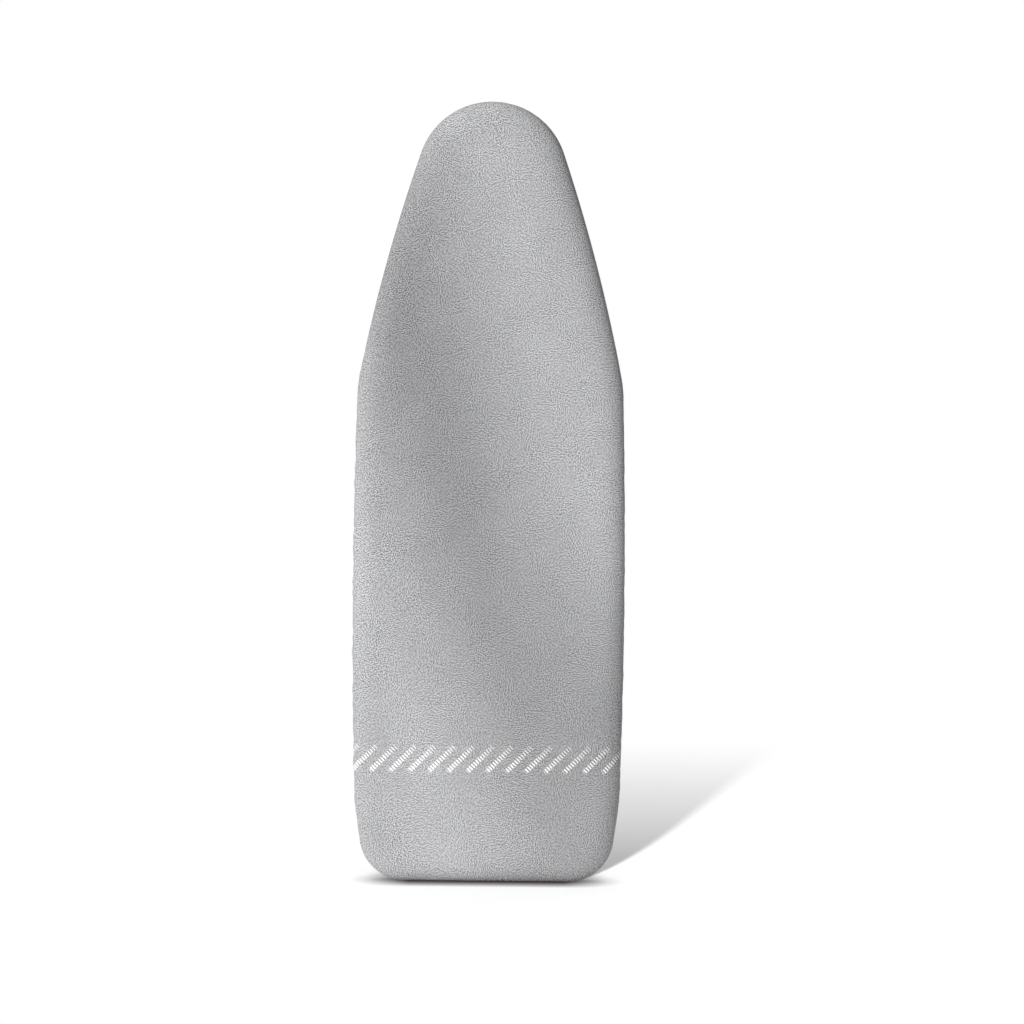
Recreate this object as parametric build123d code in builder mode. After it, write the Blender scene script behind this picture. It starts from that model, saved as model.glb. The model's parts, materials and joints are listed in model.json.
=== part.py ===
"""Folding ironing board, stored: it stands on its tail edge with its legs folded flat behind it.

Frame, in millimetres: X across the board, Y through it with the ironing face towards -Y, Z up the
board from the tail edge to the nose. The origin is in the middle of the tail edge, on the floor.
"""

import os
from math import atan2, cos, degrees, radians, sin, sqrt

from build123d import *

os.makedirs("parts", exist_ok=True)

# --- Outline of the covered board, seen from the front ---------------------------------------
LENGTH = 1200.0
WIDTH = 417.0
NOSE_RADIUS = 114.6
FLANK_RADIUS = 2570.0
SHOULDER_DROP = 432.0  # from the tip of the nose down to the shoulder
SHOULDER_INSET = 5.9  # the shoulder is this much narrower than the widest place, each side
SHOULDER_BLEND = 200.0
WIDEST_HEIGHT = 421.0
HIP_HEIGHT = 124.0
HIP_RADIUS = 260.0
TAIL_INSET = 21.4  # the tail edge is this much narrower than the widest place, each side
CORNER_RADIUS = 71.0

# --- Layers of the board, front to back -------------------------------------------------------
THICKNESS = 38.0
COVER_WALL = 2.0
FRONT_ROUND = 16.0
BACK_ROUND = 10.0
SOFT_GAP = 0.3
PAD_THICKNESS = 8.0
PAD_INSET = 7.0
PAD_ROUND = 7.0
PLATE_THICKNESS = 0.8
RIM_INSET = 5.0
RIM_WIDTH = 14.0
RIM_DEPTH = 22.5
RIM_WALL = 1.2
RIM_ROUND = 4.0
DRAIN_HOLE = 4.0

# --- Hem of the cover: a bound edge with an elastic cord in it ---------------------------------
HEM_WIDTH = 46.0
BINDING_WIDTH = 11.0
BINDING_DEPTH = 6.5
BINDING_WALL = 1.0
BINDING_GAP = 36.0
ELASTIC = 4.0
CRIMP_LENGTH = 14.0
CRIMP_WALL = 0.8

# --- Openings of the plate ---------------------------------------------------------------------
DIAMOND_LONG = 40.0
DIAMOND_SHORT = 18.0
DIAMOND_PITCH = 52.0
PLATE_MARGIN = 24.0

# --- Cross members under the plate -------------------------------------------------------------
MEMBER_WIDTH = 30.0
MEMBER_DEPTH = 15.5
MEMBER_WALL = 1.5
MEMBER_CLEARANCE = 0.3
TAIL_MEMBER = 110.0
LEVER_MEMBER = 330.0
MIDDLE_MEMBER = 575.0
PIVOT_HEIGHT = 960.0  # the fixed pivot of the outer leg, which the nose member carries

# --- Legs ---------------------------------------------------------------------------------------
LEG_TUBE = 22.0
TUBE_WALL = 1.2
FOOT_TUBE = 25.0
FOOT_CAP = 34.0
LEG_DEPTH = 46.0  # Y of the plane that both legs fold into
HEM_CLEARANCE = 6.4  # from the ears of the fixed pivot to the hem beside them
LEG_GAP = 10.0  # between the outer and the inner tubes
UPPER_ARM = 439.0  # from the crossing to the upper pivot on either leg
OPEN_ANGLE = 62.0
LOWEST_ANGLE = 40.0
HEIGHT_STEPS = 6
TAIL_FOOT_LENGTH = 300.0
NOSE_FOOT_LENGTH = 252.0
INNER_OVERHANG = 65.0  # from the fixed pivot to the inner foot, past it
CAP_LENGTH = 36.0
CAP_END = 5.0
CAP_ROUND = 4.0
CAP_GROOVES = 3
CAP_GROOVE_PITCH = 8.0
CAP_GROOVE_DEPTH = 1.0
TUBE_OVERRUN = 14.0
BRACE_TUBE = 16.0
BRACE_HEIGHT = 760.0

# --- Pivots -------------------------------------------------------------------------------------
PIVOT_BOLT = 8.0
RUNNING_GAP = 0.075  # radial, between a bolt or shaft and its bush
BUSH_OUTSIDE = 12.0
BUSH_SEAT_GAP = 0.05
BUSH_FLANGE = 18.0
BUSH_FLANGE_THICKNESS = 1.0
EAR_THICKNESS = 2.0
EAR_GAP = 0.15
EAR_RADIUS = 12.0
BRACKET_BASE = 2.0
BOLT_HEAD = 15.0
BOLT_HEAD_HEIGHT = 2.5
NUT_WIDTH = 13.0
NUT_HEIGHT = 6.5
WASHER = 17.0
WASHER_THICKNESS = 1.2
RIVET = 4.0
RIVET_HEAD = 8.0
RIVET_HEAD_HEIGHT = 1.6

# --- Slide rail, rod and glides ------------------------------------------------------------------
RAIL_WIDTH = 36.0
RAIL_WALL = 2.0
RAIL_LIP = 6.0
RAIL_END = 20.0
SLIDE_ROD = 10.0
GLIDE = 12.8
SLOT_GAP = 0.2
GLIDE_FLANGE = 18.0
GLIDE_FLANGE_THICKNESS = 1.5
SIDE_GAP = 0.3
RAIL_SCREW = 5.0
SCREW_HEAD = 9.0
SCREW_HEAD_HEIGHT = 2.4
SCREW_SPACING = 16.0

# --- Height lock: a notched rack that a lever moves in and out ------------------------------------
RACK_THICKNESS = 4.0
RACK_BACK = 14.0  # Y of the rack's plain edge when it is drawn back
RACK_CLEARANCE = 1.7  # between the drawn-back teeth and the slide rod
NOTCH_GAP = 0.4
CRANK_RADIUS = 7.0
LEVER_SWING = 70.0
SHAFT = 8.0
SHAFT_DEPTH = 27.0
CRANK_PIN = 5.0
CRANK_SLOT_GAP = 0.3
CRANK_THICKNESS = 4.0
CRANK_GAP = 0.8
GUIDE_PIN = 6.0
GUIDE_GAP = 0.15
GUIDE_DEPTH = 28.0
GUIDE_SPACER = 10.0
BRACKET_THICKNESS = 3.0
LEVER_LENGTH = 118.0
LEVER_WIDTH = 24.0
LEVER_THICKNESS = 12.0
LEVER_HUB = 20.0
LEVER_GAP = 3.0
LEVER_MARGIN = 17.0  # from the handle to the hem beside it
LEVER_LEG_GAP = 6.0  # at least, from the lever's bracket to the outer leg beside it
CIRCLIP = 13.0

# --- Clips that hold the folded outer leg ----------------------------------------------------------
CLIP_WIDTH = 30.0
CLIP_LENGTH = 20.0
CLIP_PRONG = 3.0  # how far the prongs pass the middle of the tube

# --- Worked out from the sizes above ----------------------------------------------------------------
FRONT = -THICKNESS / 2
BACK = THICKNESS / 2
PAD_FRONT = FRONT + COVER_WALL + SOFT_GAP
PLATE_FRONT = PAD_FRONT + PAD_THICKNESS
RIM_FRONT = PLATE_FRONT + PLATE_THICKNESS
RIM_BACK = RIM_FRONT + RIM_DEPTH
MEMBER_BACK = RIM_FRONT + MEMBER_DEPTH
FOOT_HEIGHT = FOOT_CAP / 2
OUTER_LEG = PIVOT_HEIGHT - FOOT_HEIGHT
CROSSING = PIVOT_HEIGHT - UPPER_ARM
ROD_HEIGHT = PIVOT_HEIGHT - 2 * UPPER_ARM
INNER_FOOT = PIVOT_HEIGHT + INNER_OVERHANG
ROD_TOP = PIVOT_HEIGHT - 2 * UPPER_ARM * cos(radians(OPEN_ANGLE))
SLOT = GLIDE + 2 * SLOT_GAP
RAIL_BOTTOM = ROD_HEIGHT - RAIL_END
RAIL_TOP = ROD_TOP + RAIL_END
RAIL_BACK = LEG_DEPTH + SLOT / 2 + RAIL_LIP
RACK_TIP = LEG_DEPTH - SLIDE_ROD / 2 - RACK_CLEARANCE
RACK_TRAVEL = 2 * CRANK_RADIUS * sin(radians(LEVER_SWING / 2))
NOTCH_RADIUS = SLIDE_ROD / 2 + NOTCH_GAP
CRANK_DROP = CRANK_RADIUS * cos(radians(LEVER_SWING / 2))
CRANK_BACK = CRANK_RADIUS * sin(radians(LEVER_SWING / 2))
BORE = PIVOT_BOLT / 2 + RUNNING_GAP
STEP_ANGLE = (OPEN_ANGLE - LOWEST_ANGLE) / (HEIGHT_STEPS - 1)
STOPS = [0.0] + [LOWEST_ANGLE + STEP_ANGLE * step for step in range(HEIGHT_STEPS)]
NOTCHES = [PIVOT_HEIGHT - 2 * UPPER_ARM * cos(radians(angle)) for angle in STOPS]
GUIDES = [(NOTCHES[0] + RAIL_END * 2), (NOTCHES[-1] + NOTCHES[-2]) / 2]
SIDES = ((-1, "left"), (1, "right"))


def at_depth(depth):
    """A plane across the board at a depth, with X to the right and Z up; extrusions go forwards."""
    return Plane.XZ.offset(-depth)


def at_side(side):
    """A plane along the board at an X, with Y to the right and Z up; extrusions go towards +X."""
    return Plane.YZ.offset(side)


def save(piece, name):
    piece.part.label = name
    export_step(piece.part, f"parts/{name}.step")


def drawn_outline():
    """The covered board from the front: nose arc, flanks, shoulders, bowed sides, hips and tail."""
    half = WIDTH / 2
    nose = Vector(0, LENGTH - NOSE_RADIUS)
    shoulder = Vector(half - SHOULDER_INSET, LENGTH - SHOULDER_DROP)
    # The flank's centre is where an arc through the shoulder is tangent to the nose arc.
    reach = (shoulder - nose).length
    inner_reach = FLANK_RADIUS - NOSE_RADIUS
    along = (inner_reach**2 - FLANK_RADIUS**2 + reach**2) / (2 * reach)
    off = sqrt(inner_reach**2 - along**2)
    way = (shoulder - nose).normalized()
    flank = nose + way * along + Vector(way.Y, -way.X) * off
    join_angle = degrees(atan2(nose.Y - flank.Y, nose.X - flank.X))
    shoulder_angle = degrees(atan2(shoulder.Y - flank.Y, shoulder.X - flank.X))
    # The side is one arc through the shoulder and the widest place, which ends at the hip.
    rise = shoulder.Y - WIDEST_HEIGHT
    side_radius = (rise**2 + SHOULDER_INSET**2) / (2 * SHOULDER_INSET)
    hip_out = half - side_radius + sqrt(side_radius**2 - (WIDEST_HEIGHT - HIP_HEIGHT) ** 2)
    with BuildSketch() as outline:
        with BuildLine():
            CenterArc(nose, NOSE_RADIUS, join_angle, 90 - join_angle)
            CenterArc(flank, FLANK_RADIUS, shoulder_angle, join_angle - shoulder_angle)
            ThreePointArc(shoulder, (half, WIDEST_HEIGHT), (hip_out, HIP_HEIGHT))
            Polyline((hip_out, HIP_HEIGHT), (half - TAIL_INSET, 0), (0, 0), (0, LENGTH))
        make_face()
        mirror(about=Plane.YZ)
        fillet(outline.vertices().filter_by(lambda v: abs(v.Y - shoulder.Y) < 1), SHOULDER_BLEND)
        fillet(outline.vertices().filter_by(lambda v: abs(v.Y - HIP_HEIGHT) < 1), HIP_RADIUS)
        fillet(outline.vertices().filter_by(lambda v: abs(v.Y) < 1 and abs(v.X) > 1), CORNER_RADIUS)
    return outline.sketch


OUTLINE = drawn_outline()
OUTLINE_EDGES = OUTLINE.edges()


def board_outline(inset):
    """The outline brought in by inset: its arcs keep their centres and its lines their slopes."""

    def brought_in(edge, position):
        point = edge @ position
        along = edge % position
        inward = Vector(-along.Y, along.X)
        if inward.dot(Vector(0, WIDEST_HEIGHT) - point) < 0:
            inward = -inward
        return point + inward * inset

    with BuildSketch() as outline:
        with BuildLine():
            for edge in OUTLINE_EDGES:
                start, middle, end = [brought_in(edge, position) for position in (0, 0.5, 1)]
                if edge.geom_type == GeomType.LINE:
                    Line(start, end)
                else:
                    ThreePointArc(start, middle, end)
        make_face()
    return outline.sketch


def half_width_at(height):
    """Half the covered board's width at a height."""
    chord = Line((-WIDTH, height), (WIDTH, height)) & OUTLINE
    return chord.length / 2


# Where the legs and the lever stand across the board, inside its hem.
HEM = HEM_WIDTH + BINDING_WIDTH
EAR_INSIDE = LEG_TUBE / 2 + BUSH_FLANGE_THICKNESS + EAR_GAP + BUSH_SEAT_GAP
EAR_OUTSIDE = EAR_INSIDE + EAR_THICKNESS
LEVER_OUT = half_width_at(LEVER_MEMBER) - HEM - LEVER_MARGIN
BRACKET_OUT = LEVER_OUT - LEVER_WIDTH - LEVER_GAP - BRACKET_THICKNESS
BESIDE_HEM = half_width_at(PIVOT_HEIGHT) - HEM - HEM_CLEARANCE - EAR_OUTSIDE
BESIDE_LEVER = BRACKET_OUT - LEVER_LEG_GAP - LEG_TUBE / 2
OUTER_SPREAD = min(BESIDE_HEM, BESIDE_LEVER)  # whichever of the two the leg meets first
INNER_SPREAD = OUTER_SPREAD - LEG_TUBE - LEG_GAP


def slab(inset, front, back, front_round=0.0, back_round=0.0):
    """The outline as a slab between two depths, with its long edges rounded."""
    with BuildPart() as body:
        with BuildSketch(at_depth(back)):
            add(board_outline(inset))
        extrude(amount=back - front)
        if front_round:
            fillet(body.faces().sort_by(Axis.Y)[0].edges(), front_round)
        if back_round:
            fillet(body.faces().sort_by(Axis.Y)[-1].edges(), back_round)
    return body.part


def ring(inset, width, front, back, round_edges):
    """A bar that follows the outline all the way round, with its four long edges rounded."""
    with BuildPart() as body:
        with BuildSketch(at_depth(back)):
            add(board_outline(inset))
            add(board_outline(inset + width), mode=Mode.SUBTRACT)
        extrude(amount=back - front)
        fillet(body.faces().filter_by(Axis.Y).edges(), round_edges)
    return body.part


def lying(x, y, z, radius, length, mode=Mode.ADD):
    """A cylinder along X, centred on a point, inside the part being built."""
    with Locations(Location((x, y, z), (0, 90, 0))):
        Cylinder(radius, length, mode=mode)


# === The board ========================================================================================

# Cover: one sheet of padded fabric pulled round the board, open at the back inside its hem.
cover_outside = slab(0, FRONT, BACK, FRONT_ROUND, BACK_ROUND)
cover_inside = slab(
    COVER_WALL,
    FRONT + COVER_WALL,
    BACK - COVER_WALL,
    FRONT_ROUND - COVER_WALL,
    BACK_ROUND - COVER_WALL,
)
back_opening = slab(HEM_WIDTH, 0, BACK + 1)
with BuildPart() as cover:
    add(cover_outside)
    add(cover_inside, mode=Mode.SUBTRACT)
    add(back_opening, mode=Mode.SUBTRACT)
save(cover, "cover")

# Hem binding: a folded tape sewn round the edge of the cover, open at the tail to feed the elastic.
binding_back = BACK + 1.0
binding_front = binding_back - BINDING_DEPTH
tape_outside = ring(HEM_WIDTH, BINDING_WIDTH, binding_front, binding_back, 2.5)
tape_inside = ring(
    HEM_WIDTH + BINDING_WALL,
    BINDING_WIDTH - 2 * BINDING_WALL,
    binding_front + BINDING_WALL,
    binding_back - BINDING_WALL,
    1.5,
)
with BuildPart() as hem_binding:
    add(tape_outside)
    add(tape_inside, mode=Mode.SUBTRACT)
    with Locations((0, binding_back - BINDING_DEPTH / 2, HEM_WIDTH + BINDING_WIDTH / 2)):
        Box(BINDING_GAP, BINDING_DEPTH * 2, BINDING_WIDTH * 2, mode=Mode.SUBTRACT)
save(hem_binding, "hem_binding")

# Elastic cord: a closed loop that lies in the binding all the way round.
elastic_inset = HEM_WIDTH + (BINDING_WIDTH - ELASTIC) / 2
elastic_front = binding_front + (BINDING_DEPTH - ELASTIC) / 2
with BuildPart() as hem_elastic:
    add(ring(elastic_inset, ELASTIC, elastic_front, elastic_front + ELASTIC, ELASTIC * 0.45))
save(hem_elastic, "hem_elastic")

# Crimp: the metal sleeve that joins the two ends of the elastic.
crimp_hole = ELASTIC + 0.1
with BuildPart() as elastic_crimp:
    with Locations((0, elastic_front + ELASTIC / 2, elastic_inset + ELASTIC / 2)):
        Box(CRIMP_LENGTH, crimp_hole + 2 * CRIMP_WALL, crimp_hole + 2 * CRIMP_WALL)
        fillet(elastic_crimp.edges().filter_by(Axis.X), CRIMP_WALL)
        Box(CRIMP_LENGTH, crimp_hole, crimp_hole, mode=Mode.SUBTRACT)
save(elastic_crimp, "elastic_crimp")

# Felt pad between the cover and the plate.
with BuildPart() as felt_pad:
    add(slab(PAD_INSET, PAD_FRONT, PLATE_FRONT, PAD_ROUND))
save(felt_pad, "felt_pad")

# Steam-through plate: thin steel with staggered rows of diamond openings.
openings_field = board_outline(PLATE_MARGIN).face()
diamond = [
    (DIAMOND_LONG / 2, 0),
    (0, DIAMOND_SHORT / 2),
    (-DIAMOND_LONG / 2, 0),
    (0, -DIAMOND_SHORT / 2),
]
columns = int(WIDTH / DIAMOND_PITCH / 2) + 1
rows = int(LENGTH / DIAMOND_PITCH) + 1
openings = []
for row in range(-rows, rows + 1):
    for column in range(-columns, columns + 1):
        middle_x = DIAMOND_PITCH * (column + 0.5 * (row % 2))
        middle_z = LENGTH / 2 + DIAMOND_PITCH / 2 * row
        corners = [Vector(middle_x + x, middle_z + z) for x, z in diamond]
        if all(openings_field.is_inside(corner) for corner in corners):
            openings.append(Wire.make_polygon(corners))
with BuildPart() as mesh_plate:
    with BuildSketch(at_depth(RIM_FRONT)):
        add(Face(board_outline(RIM_INSET).face().outer_wire(), openings))
    extrude(amount=PLATE_THICKNESS)
save(mesh_plate, "mesh_plate")

# Rim: one steel tube bent round the board, with drain holes in its back.
rim_outside = ring(RIM_INSET, RIM_WIDTH, RIM_FRONT, RIM_BACK, RIM_ROUND)
rim_inside = ring(
    RIM_INSET + RIM_WALL,
    RIM_WIDTH - 2 * RIM_WALL,
    RIM_FRONT + RIM_WALL,
    RIM_BACK - RIM_WALL,
    RIM_ROUND - RIM_WALL,
)
rim_middle = RIM_INSET + RIM_WIDTH / 2
with BuildPart() as rim_tube:
    add(rim_outside)
    add(rim_inside, mode=Mode.SUBTRACT)
    for height in (rim_middle, LENGTH - rim_middle):
        with Locations(Location((0, RIM_BACK, height), (90, 0, 0))):
            Cylinder(DRAIN_HOLE / 2, RIM_WALL * 4, mode=Mode.SUBTRACT)
save(rim_tube, "rim_tube")

# Cross members: top-hat channels welded between the sides of the rim.
member_field = slab(RIM_INSET + RIM_WIDTH + MEMBER_CLEARANCE, RIM_FRONT, MEMBER_BACK)
channel_wide = MEMBER_WIDTH - 2 * MEMBER_WALL
channel_middle = (RIM_FRONT + MEMBER_BACK - MEMBER_WALL) / 2
screw_out = SCREW_SPACING / 2
screw_hole = RAIL_SCREW / 2 + 0.2
rivet_out = 8.0
rivet_up = 9.0
rivet_hole = RIVET / 2 + 0.05


def cross_member(height, holes, hole_radius):
    """A channel across the board at a height, open towards the plate, with holes in its back."""
    with BuildPart() as body:
        with Locations((0, (RIM_FRONT + MEMBER_BACK) / 2, height)):
            Box(WIDTH, MEMBER_DEPTH, MEMBER_WIDTH)
        fillet(body.faces().sort_by(Axis.Y)[-1].edges().filter_by(Axis.X), 3.0)
        with Locations((0, channel_middle, height)):
            Box(WIDTH, MEMBER_DEPTH - MEMBER_WALL, channel_wide, mode=Mode.SUBTRACT)
        add(member_field, mode=Mode.INTERSECT)
        for x, z in holes:
            with Locations(Location((x, MEMBER_BACK, z), (90, 0, 0))):
                Cylinder(hole_radius, MEMBER_WALL * 4, mode=Mode.SUBTRACT)
    return body


rivet_places = [
    (side * OUTER_SPREAD + a * rivet_out, PIVOT_HEIGHT + b * rivet_up)
    for side in (-1, 1)
    for a in (-1, 1)
    for b in (-1, 1)
]
clip_rivet_places = [
    (side * (OUTER_SPREAD + a * rivet_out), MIDDLE_MEMBER) for side in (-1, 1) for a in (-1, 1)
]
lever_base_middle = BRACKET_OUT + BRACKET_THICKNESS - 12.0
lever_rivet_places = [(lever_base_middle - 2, LEVER_MEMBER + b * rivet_up) for b in (-1, 1)]
screw_places = [
    (0, height + way * screw_out) for height in (TAIL_MEMBER, MIDDLE_MEMBER) for way in (-0.9, 0.9)
]
tail_holes = [p for p in screw_places if p[1] < LEVER_MEMBER]
middle_holes = [p for p in screw_places if p[1] > LEVER_MEMBER]
save(cross_member(TAIL_MEMBER, tail_holes, screw_hole), "cross_member_tail")
save(cross_member(LEVER_MEMBER, lever_rivet_places, rivet_hole), "cross_member_lever")
middle = cross_member(MIDDLE_MEMBER, middle_holes, screw_hole)
with BuildPart() as cross_member_middle:
    add(middle.part)
    for x, z in clip_rivet_places:
        with Locations(Location((x, MEMBER_BACK, z), (90, 0, 0))):
            Cylinder(rivet_hole, MEMBER_WALL * 4, mode=Mode.SUBTRACT)
save(cross_member_middle, "cross_member_middle")
save(cross_member(PIVOT_HEIGHT, rivet_places, rivet_hole), "cross_member_nose")

# Slide rail: a channel whose two slots guide the rod of the inner leg.
rail_length = RAIL_TOP - RAIL_BOTTOM
rail_middle = (RAIL_TOP + RAIL_BOTTOM) / 2
shaft_bush_seat = BUSH_OUTSIDE / 2 + BUSH_SEAT_GAP
with BuildPart() as slide_rail:
    with Locations((0, (MEMBER_BACK + RAIL_BACK) / 2, rail_middle)):
        Box(RAIL_WIDTH, RAIL_BACK - MEMBER_BACK, rail_length)
    with Locations((0, (MEMBER_BACK + RAIL_BACK + RAIL_WALL) / 2, rail_middle)):
        Box(
            RAIL_WIDTH - 2 * RAIL_WALL,
            RAIL_BACK - MEMBER_BACK - RAIL_WALL,
            rail_length,
            mode=Mode.SUBTRACT,
        )
    with BuildSketch(at_side(-RAIL_WIDTH)):
        with Locations((LEG_DEPTH, (ROD_HEIGHT + ROD_TOP) / 2)):
            SlotCenterToCenter(ROD_TOP - ROD_HEIGHT, SLOT, rotation=90)
    extrude(amount=2 * RAIL_WIDTH, mode=Mode.SUBTRACT)
    for height in GUIDES:
        lying(0, GUIDE_DEPTH, height, GUIDE_PIN / 2 + BUSH_SEAT_GAP, RAIL_WIDTH * 2, Mode.SUBTRACT)
    lying(RAIL_WIDTH / 2, SHAFT_DEPTH, LEVER_MEMBER, shaft_bush_seat, RAIL_WALL * 4, Mode.SUBTRACT)
    for x, z in screw_places:
        with Locations(Location((x, MEMBER_BACK, z), (90, 0, 0))):
            Cylinder(screw_hole, RAIL_WALL * 4, mode=Mode.SUBTRACT)
    fillet(slide_rail.edges().filter_by(Axis.Z).sort_by(Axis.Y)[:2], 1.5)
save(slide_rail, "slide_rail")

# Rail screws: pan heads inside the rail, with nuts inside the members.
screw_start = MEMBER_BACK + RAIL_WALL
screw_end = MEMBER_BACK - MEMBER_WALL - 6.0
with BuildPart() as rail_screws:
    for x, z in screw_places:
        with Locations(Location((x, (screw_start + screw_end) / 2, z), (90, 0, 0))):
            Cylinder(RAIL_SCREW / 2, screw_start - screw_end)
        with Locations(Location((x, screw_start + SCREW_HEAD_HEIGHT / 2, z), (90, 0, 0))):
            Cylinder(SCREW_HEAD / 2, SCREW_HEAD_HEIGHT)
            Cylinder(1.5, SCREW_HEAD_HEIGHT * 0.9, mode=Mode.SUBTRACT)
save(rail_screws, "rail_screws")

with BuildPart() as rail_nuts:
    with BuildSketch(at_depth(MEMBER_BACK - MEMBER_WALL)):
        with Locations(*screw_places):
            RegularPolygon(4.0, 6, major_radius=False)
            Circle(RAIL_SCREW / 2 + BUSH_SEAT_GAP, mode=Mode.SUBTRACT)
    extrude(amount=4.0)
save(rail_nuts, "rail_nuts")

# Pivot brackets: a pair of ears either side of each outer leg tube.
for side, name in SIDES:
    middle_x = side * OUTER_SPREAD
    with BuildPart() as pivot_bracket:
        with BuildSketch(at_side(middle_x - EAR_OUTSIDE)):
            with BuildLine():
                Polyline(
                    (MEMBER_BACK, PIVOT_HEIGHT - MEMBER_WIDTH / 2),
                    (LEG_DEPTH, PIVOT_HEIGHT - EAR_RADIUS),
                    (LEG_DEPTH, PIVOT_HEIGHT + EAR_RADIUS),
                    (MEMBER_BACK, PIVOT_HEIGHT + MEMBER_WIDTH / 2),
                    close=True,
                )
            make_face()
            with Locations((LEG_DEPTH, PIVOT_HEIGHT)):
                Circle(EAR_RADIUS)
        extrude(amount=2 * EAR_OUTSIDE)
        with Locations((middle_x, MEMBER_BACK + BRACKET_BASE + LENGTH / 2, PIVOT_HEIGHT)):
            Box(2 * EAR_INSIDE, LENGTH, LENGTH, mode=Mode.SUBTRACT)
        lying(middle_x, LEG_DEPTH, PIVOT_HEIGHT, PIVOT_BOLT / 2 + 0.1, LENGTH, Mode.SUBTRACT)
        for x, z in [p for p in rivet_places if p[0] * side > 0]:
            with Locations(Location((x, MEMBER_BACK, z), (90, 0, 0))):
                Cylinder(rivet_hole, BRACKET_BASE * 4, mode=Mode.SUBTRACT)
    save(pivot_bracket, f"pivot_bracket_{name}")


def rivets(places, top):
    """Blind rivets through a member's back, with domed heads standing on the piece they hold."""
    with BuildPart() as body:
        for x, z in places:
            with Locations(Location((x, (top + MEMBER_BACK - 4.0) / 2, z), (90, 0, 0))):
                Cylinder(RIVET / 2, top - MEMBER_BACK + 4.0)
            with Locations(Location((x, top + RIVET_HEAD_HEIGHT / 2, z), (90, 0, 0))):
                Cylinder(RIVET_HEAD / 2, RIVET_HEAD_HEIGHT)
        fillet(body.faces().sort_by(Axis.Y).group_by(Axis.Y)[-1].edges(), RIVET_HEAD_HEIGHT * 0.6)
    return body


save(rivets(rivet_places, MEMBER_BACK + BRACKET_BASE), "bracket_rivets")

# Bolts of the fixed pivot, each with a low head inside and a nut outside.
bolt_inner = EAR_OUTSIDE + BOLT_HEAD_HEIGHT
bolt_outer = EAR_OUTSIDE + WASHER_THICKNESS + NUT_HEIGHT
with BuildPart() as pivot_bolts:
    for side in (-1, 1):
        middle_x = side * (OUTER_SPREAD + (bolt_outer + 1.5 - bolt_inner) / 2)
        lying(middle_x, LEG_DEPTH, PIVOT_HEIGHT, PIVOT_BOLT / 2, bolt_outer + 1.5 + bolt_inner)
        head_x = side * (OUTER_SPREAD - EAR_OUTSIDE - BOLT_HEAD_HEIGHT / 2)
        lying(head_x, LEG_DEPTH, PIVOT_HEIGHT, BOLT_HEAD / 2, BOLT_HEAD_HEIGHT)
save(pivot_bolts, "pivot_bolts")

with BuildPart() as pivot_nuts:
    for side in (-1, 1):
        nut_start = side * (OUTER_SPREAD + EAR_OUTSIDE + WASHER_THICKNESS)
        with BuildSketch(at_side(nut_start)):
            with Locations((LEG_DEPTH, PIVOT_HEIGHT)):
                RegularPolygon(NUT_WIDTH / 2, 6, major_radius=False)
                Circle(PIVOT_BOLT / 2 + BUSH_SEAT_GAP, mode=Mode.SUBTRACT)
        extrude(amount=side * NUT_HEIGHT)
save(pivot_nuts, "pivot_nuts")

with BuildPart() as pivot_washers:
    for side in (-1, 1):
        washer_x = side * (OUTER_SPREAD + EAR_OUTSIDE + WASHER_THICKNESS / 2)
        lying(washer_x, LEG_DEPTH, PIVOT_HEIGHT, WASHER / 2, WASHER_THICKNESS)
        lying(washer_x, LEG_DEPTH, PIVOT_HEIGHT, PIVOT_BOLT / 2 + 0.1, WASHER, Mode.SUBTRACT)
save(pivot_washers, "pivot_washers")

# Leg clips: plastic saddles on the middle member that the folded outer tubes press into.
clip_seat = LEG_TUBE / 2 + SIDE_GAP
for side, name in SIDES:
    clip_x = side * OUTER_SPREAD
    clip_back = LEG_DEPTH + CLIP_PRONG
    with BuildPart() as leg_clip:
        with Locations((clip_x, (MEMBER_BACK + clip_back) / 2, MIDDLE_MEMBER)):
            Box(CLIP_WIDTH, clip_back - MEMBER_BACK, CLIP_LENGTH)
        fillet(leg_clip.edges().filter_by(Axis.Z).group_by(Axis.Y)[-1], 1.5)
        with Locations((clip_x, LEG_DEPTH, MIDDLE_MEMBER)):
            Cylinder(clip_seat, LEG_TUBE * 2, mode=Mode.SUBTRACT)
        with Locations((clip_x, LEG_DEPTH + LEG_TUBE / 2, MIDDLE_MEMBER)):
            Box(2 * clip_seat, LEG_TUBE, LEG_TUBE * 2, mode=Mode.SUBTRACT)
        # Hollow below the saddle, with a floor for the rivets.
        hollow_back = LEG_DEPTH - clip_seat - 3.0
        hollow_front = MEMBER_BACK + 3.0
        with Locations((clip_x, (hollow_back + hollow_front) / 2, MIDDLE_MEMBER)):
            Box(CLIP_WIDTH - 6.0, hollow_back - hollow_front, CLIP_LENGTH * 2, mode=Mode.SUBTRACT)
        for x, z in [p for p in clip_rivet_places if p[0] * side > 0]:
            with Locations(Location((x, MEMBER_BACK, z), (90, 0, 0))):
                Cylinder(rivet_hole, 12.0, mode=Mode.SUBTRACT)
    save(leg_clip, f"leg_clip_{name}")
save(rivets(clip_rivet_places, MEMBER_BACK + 3.0), "clip_rivets")

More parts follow.
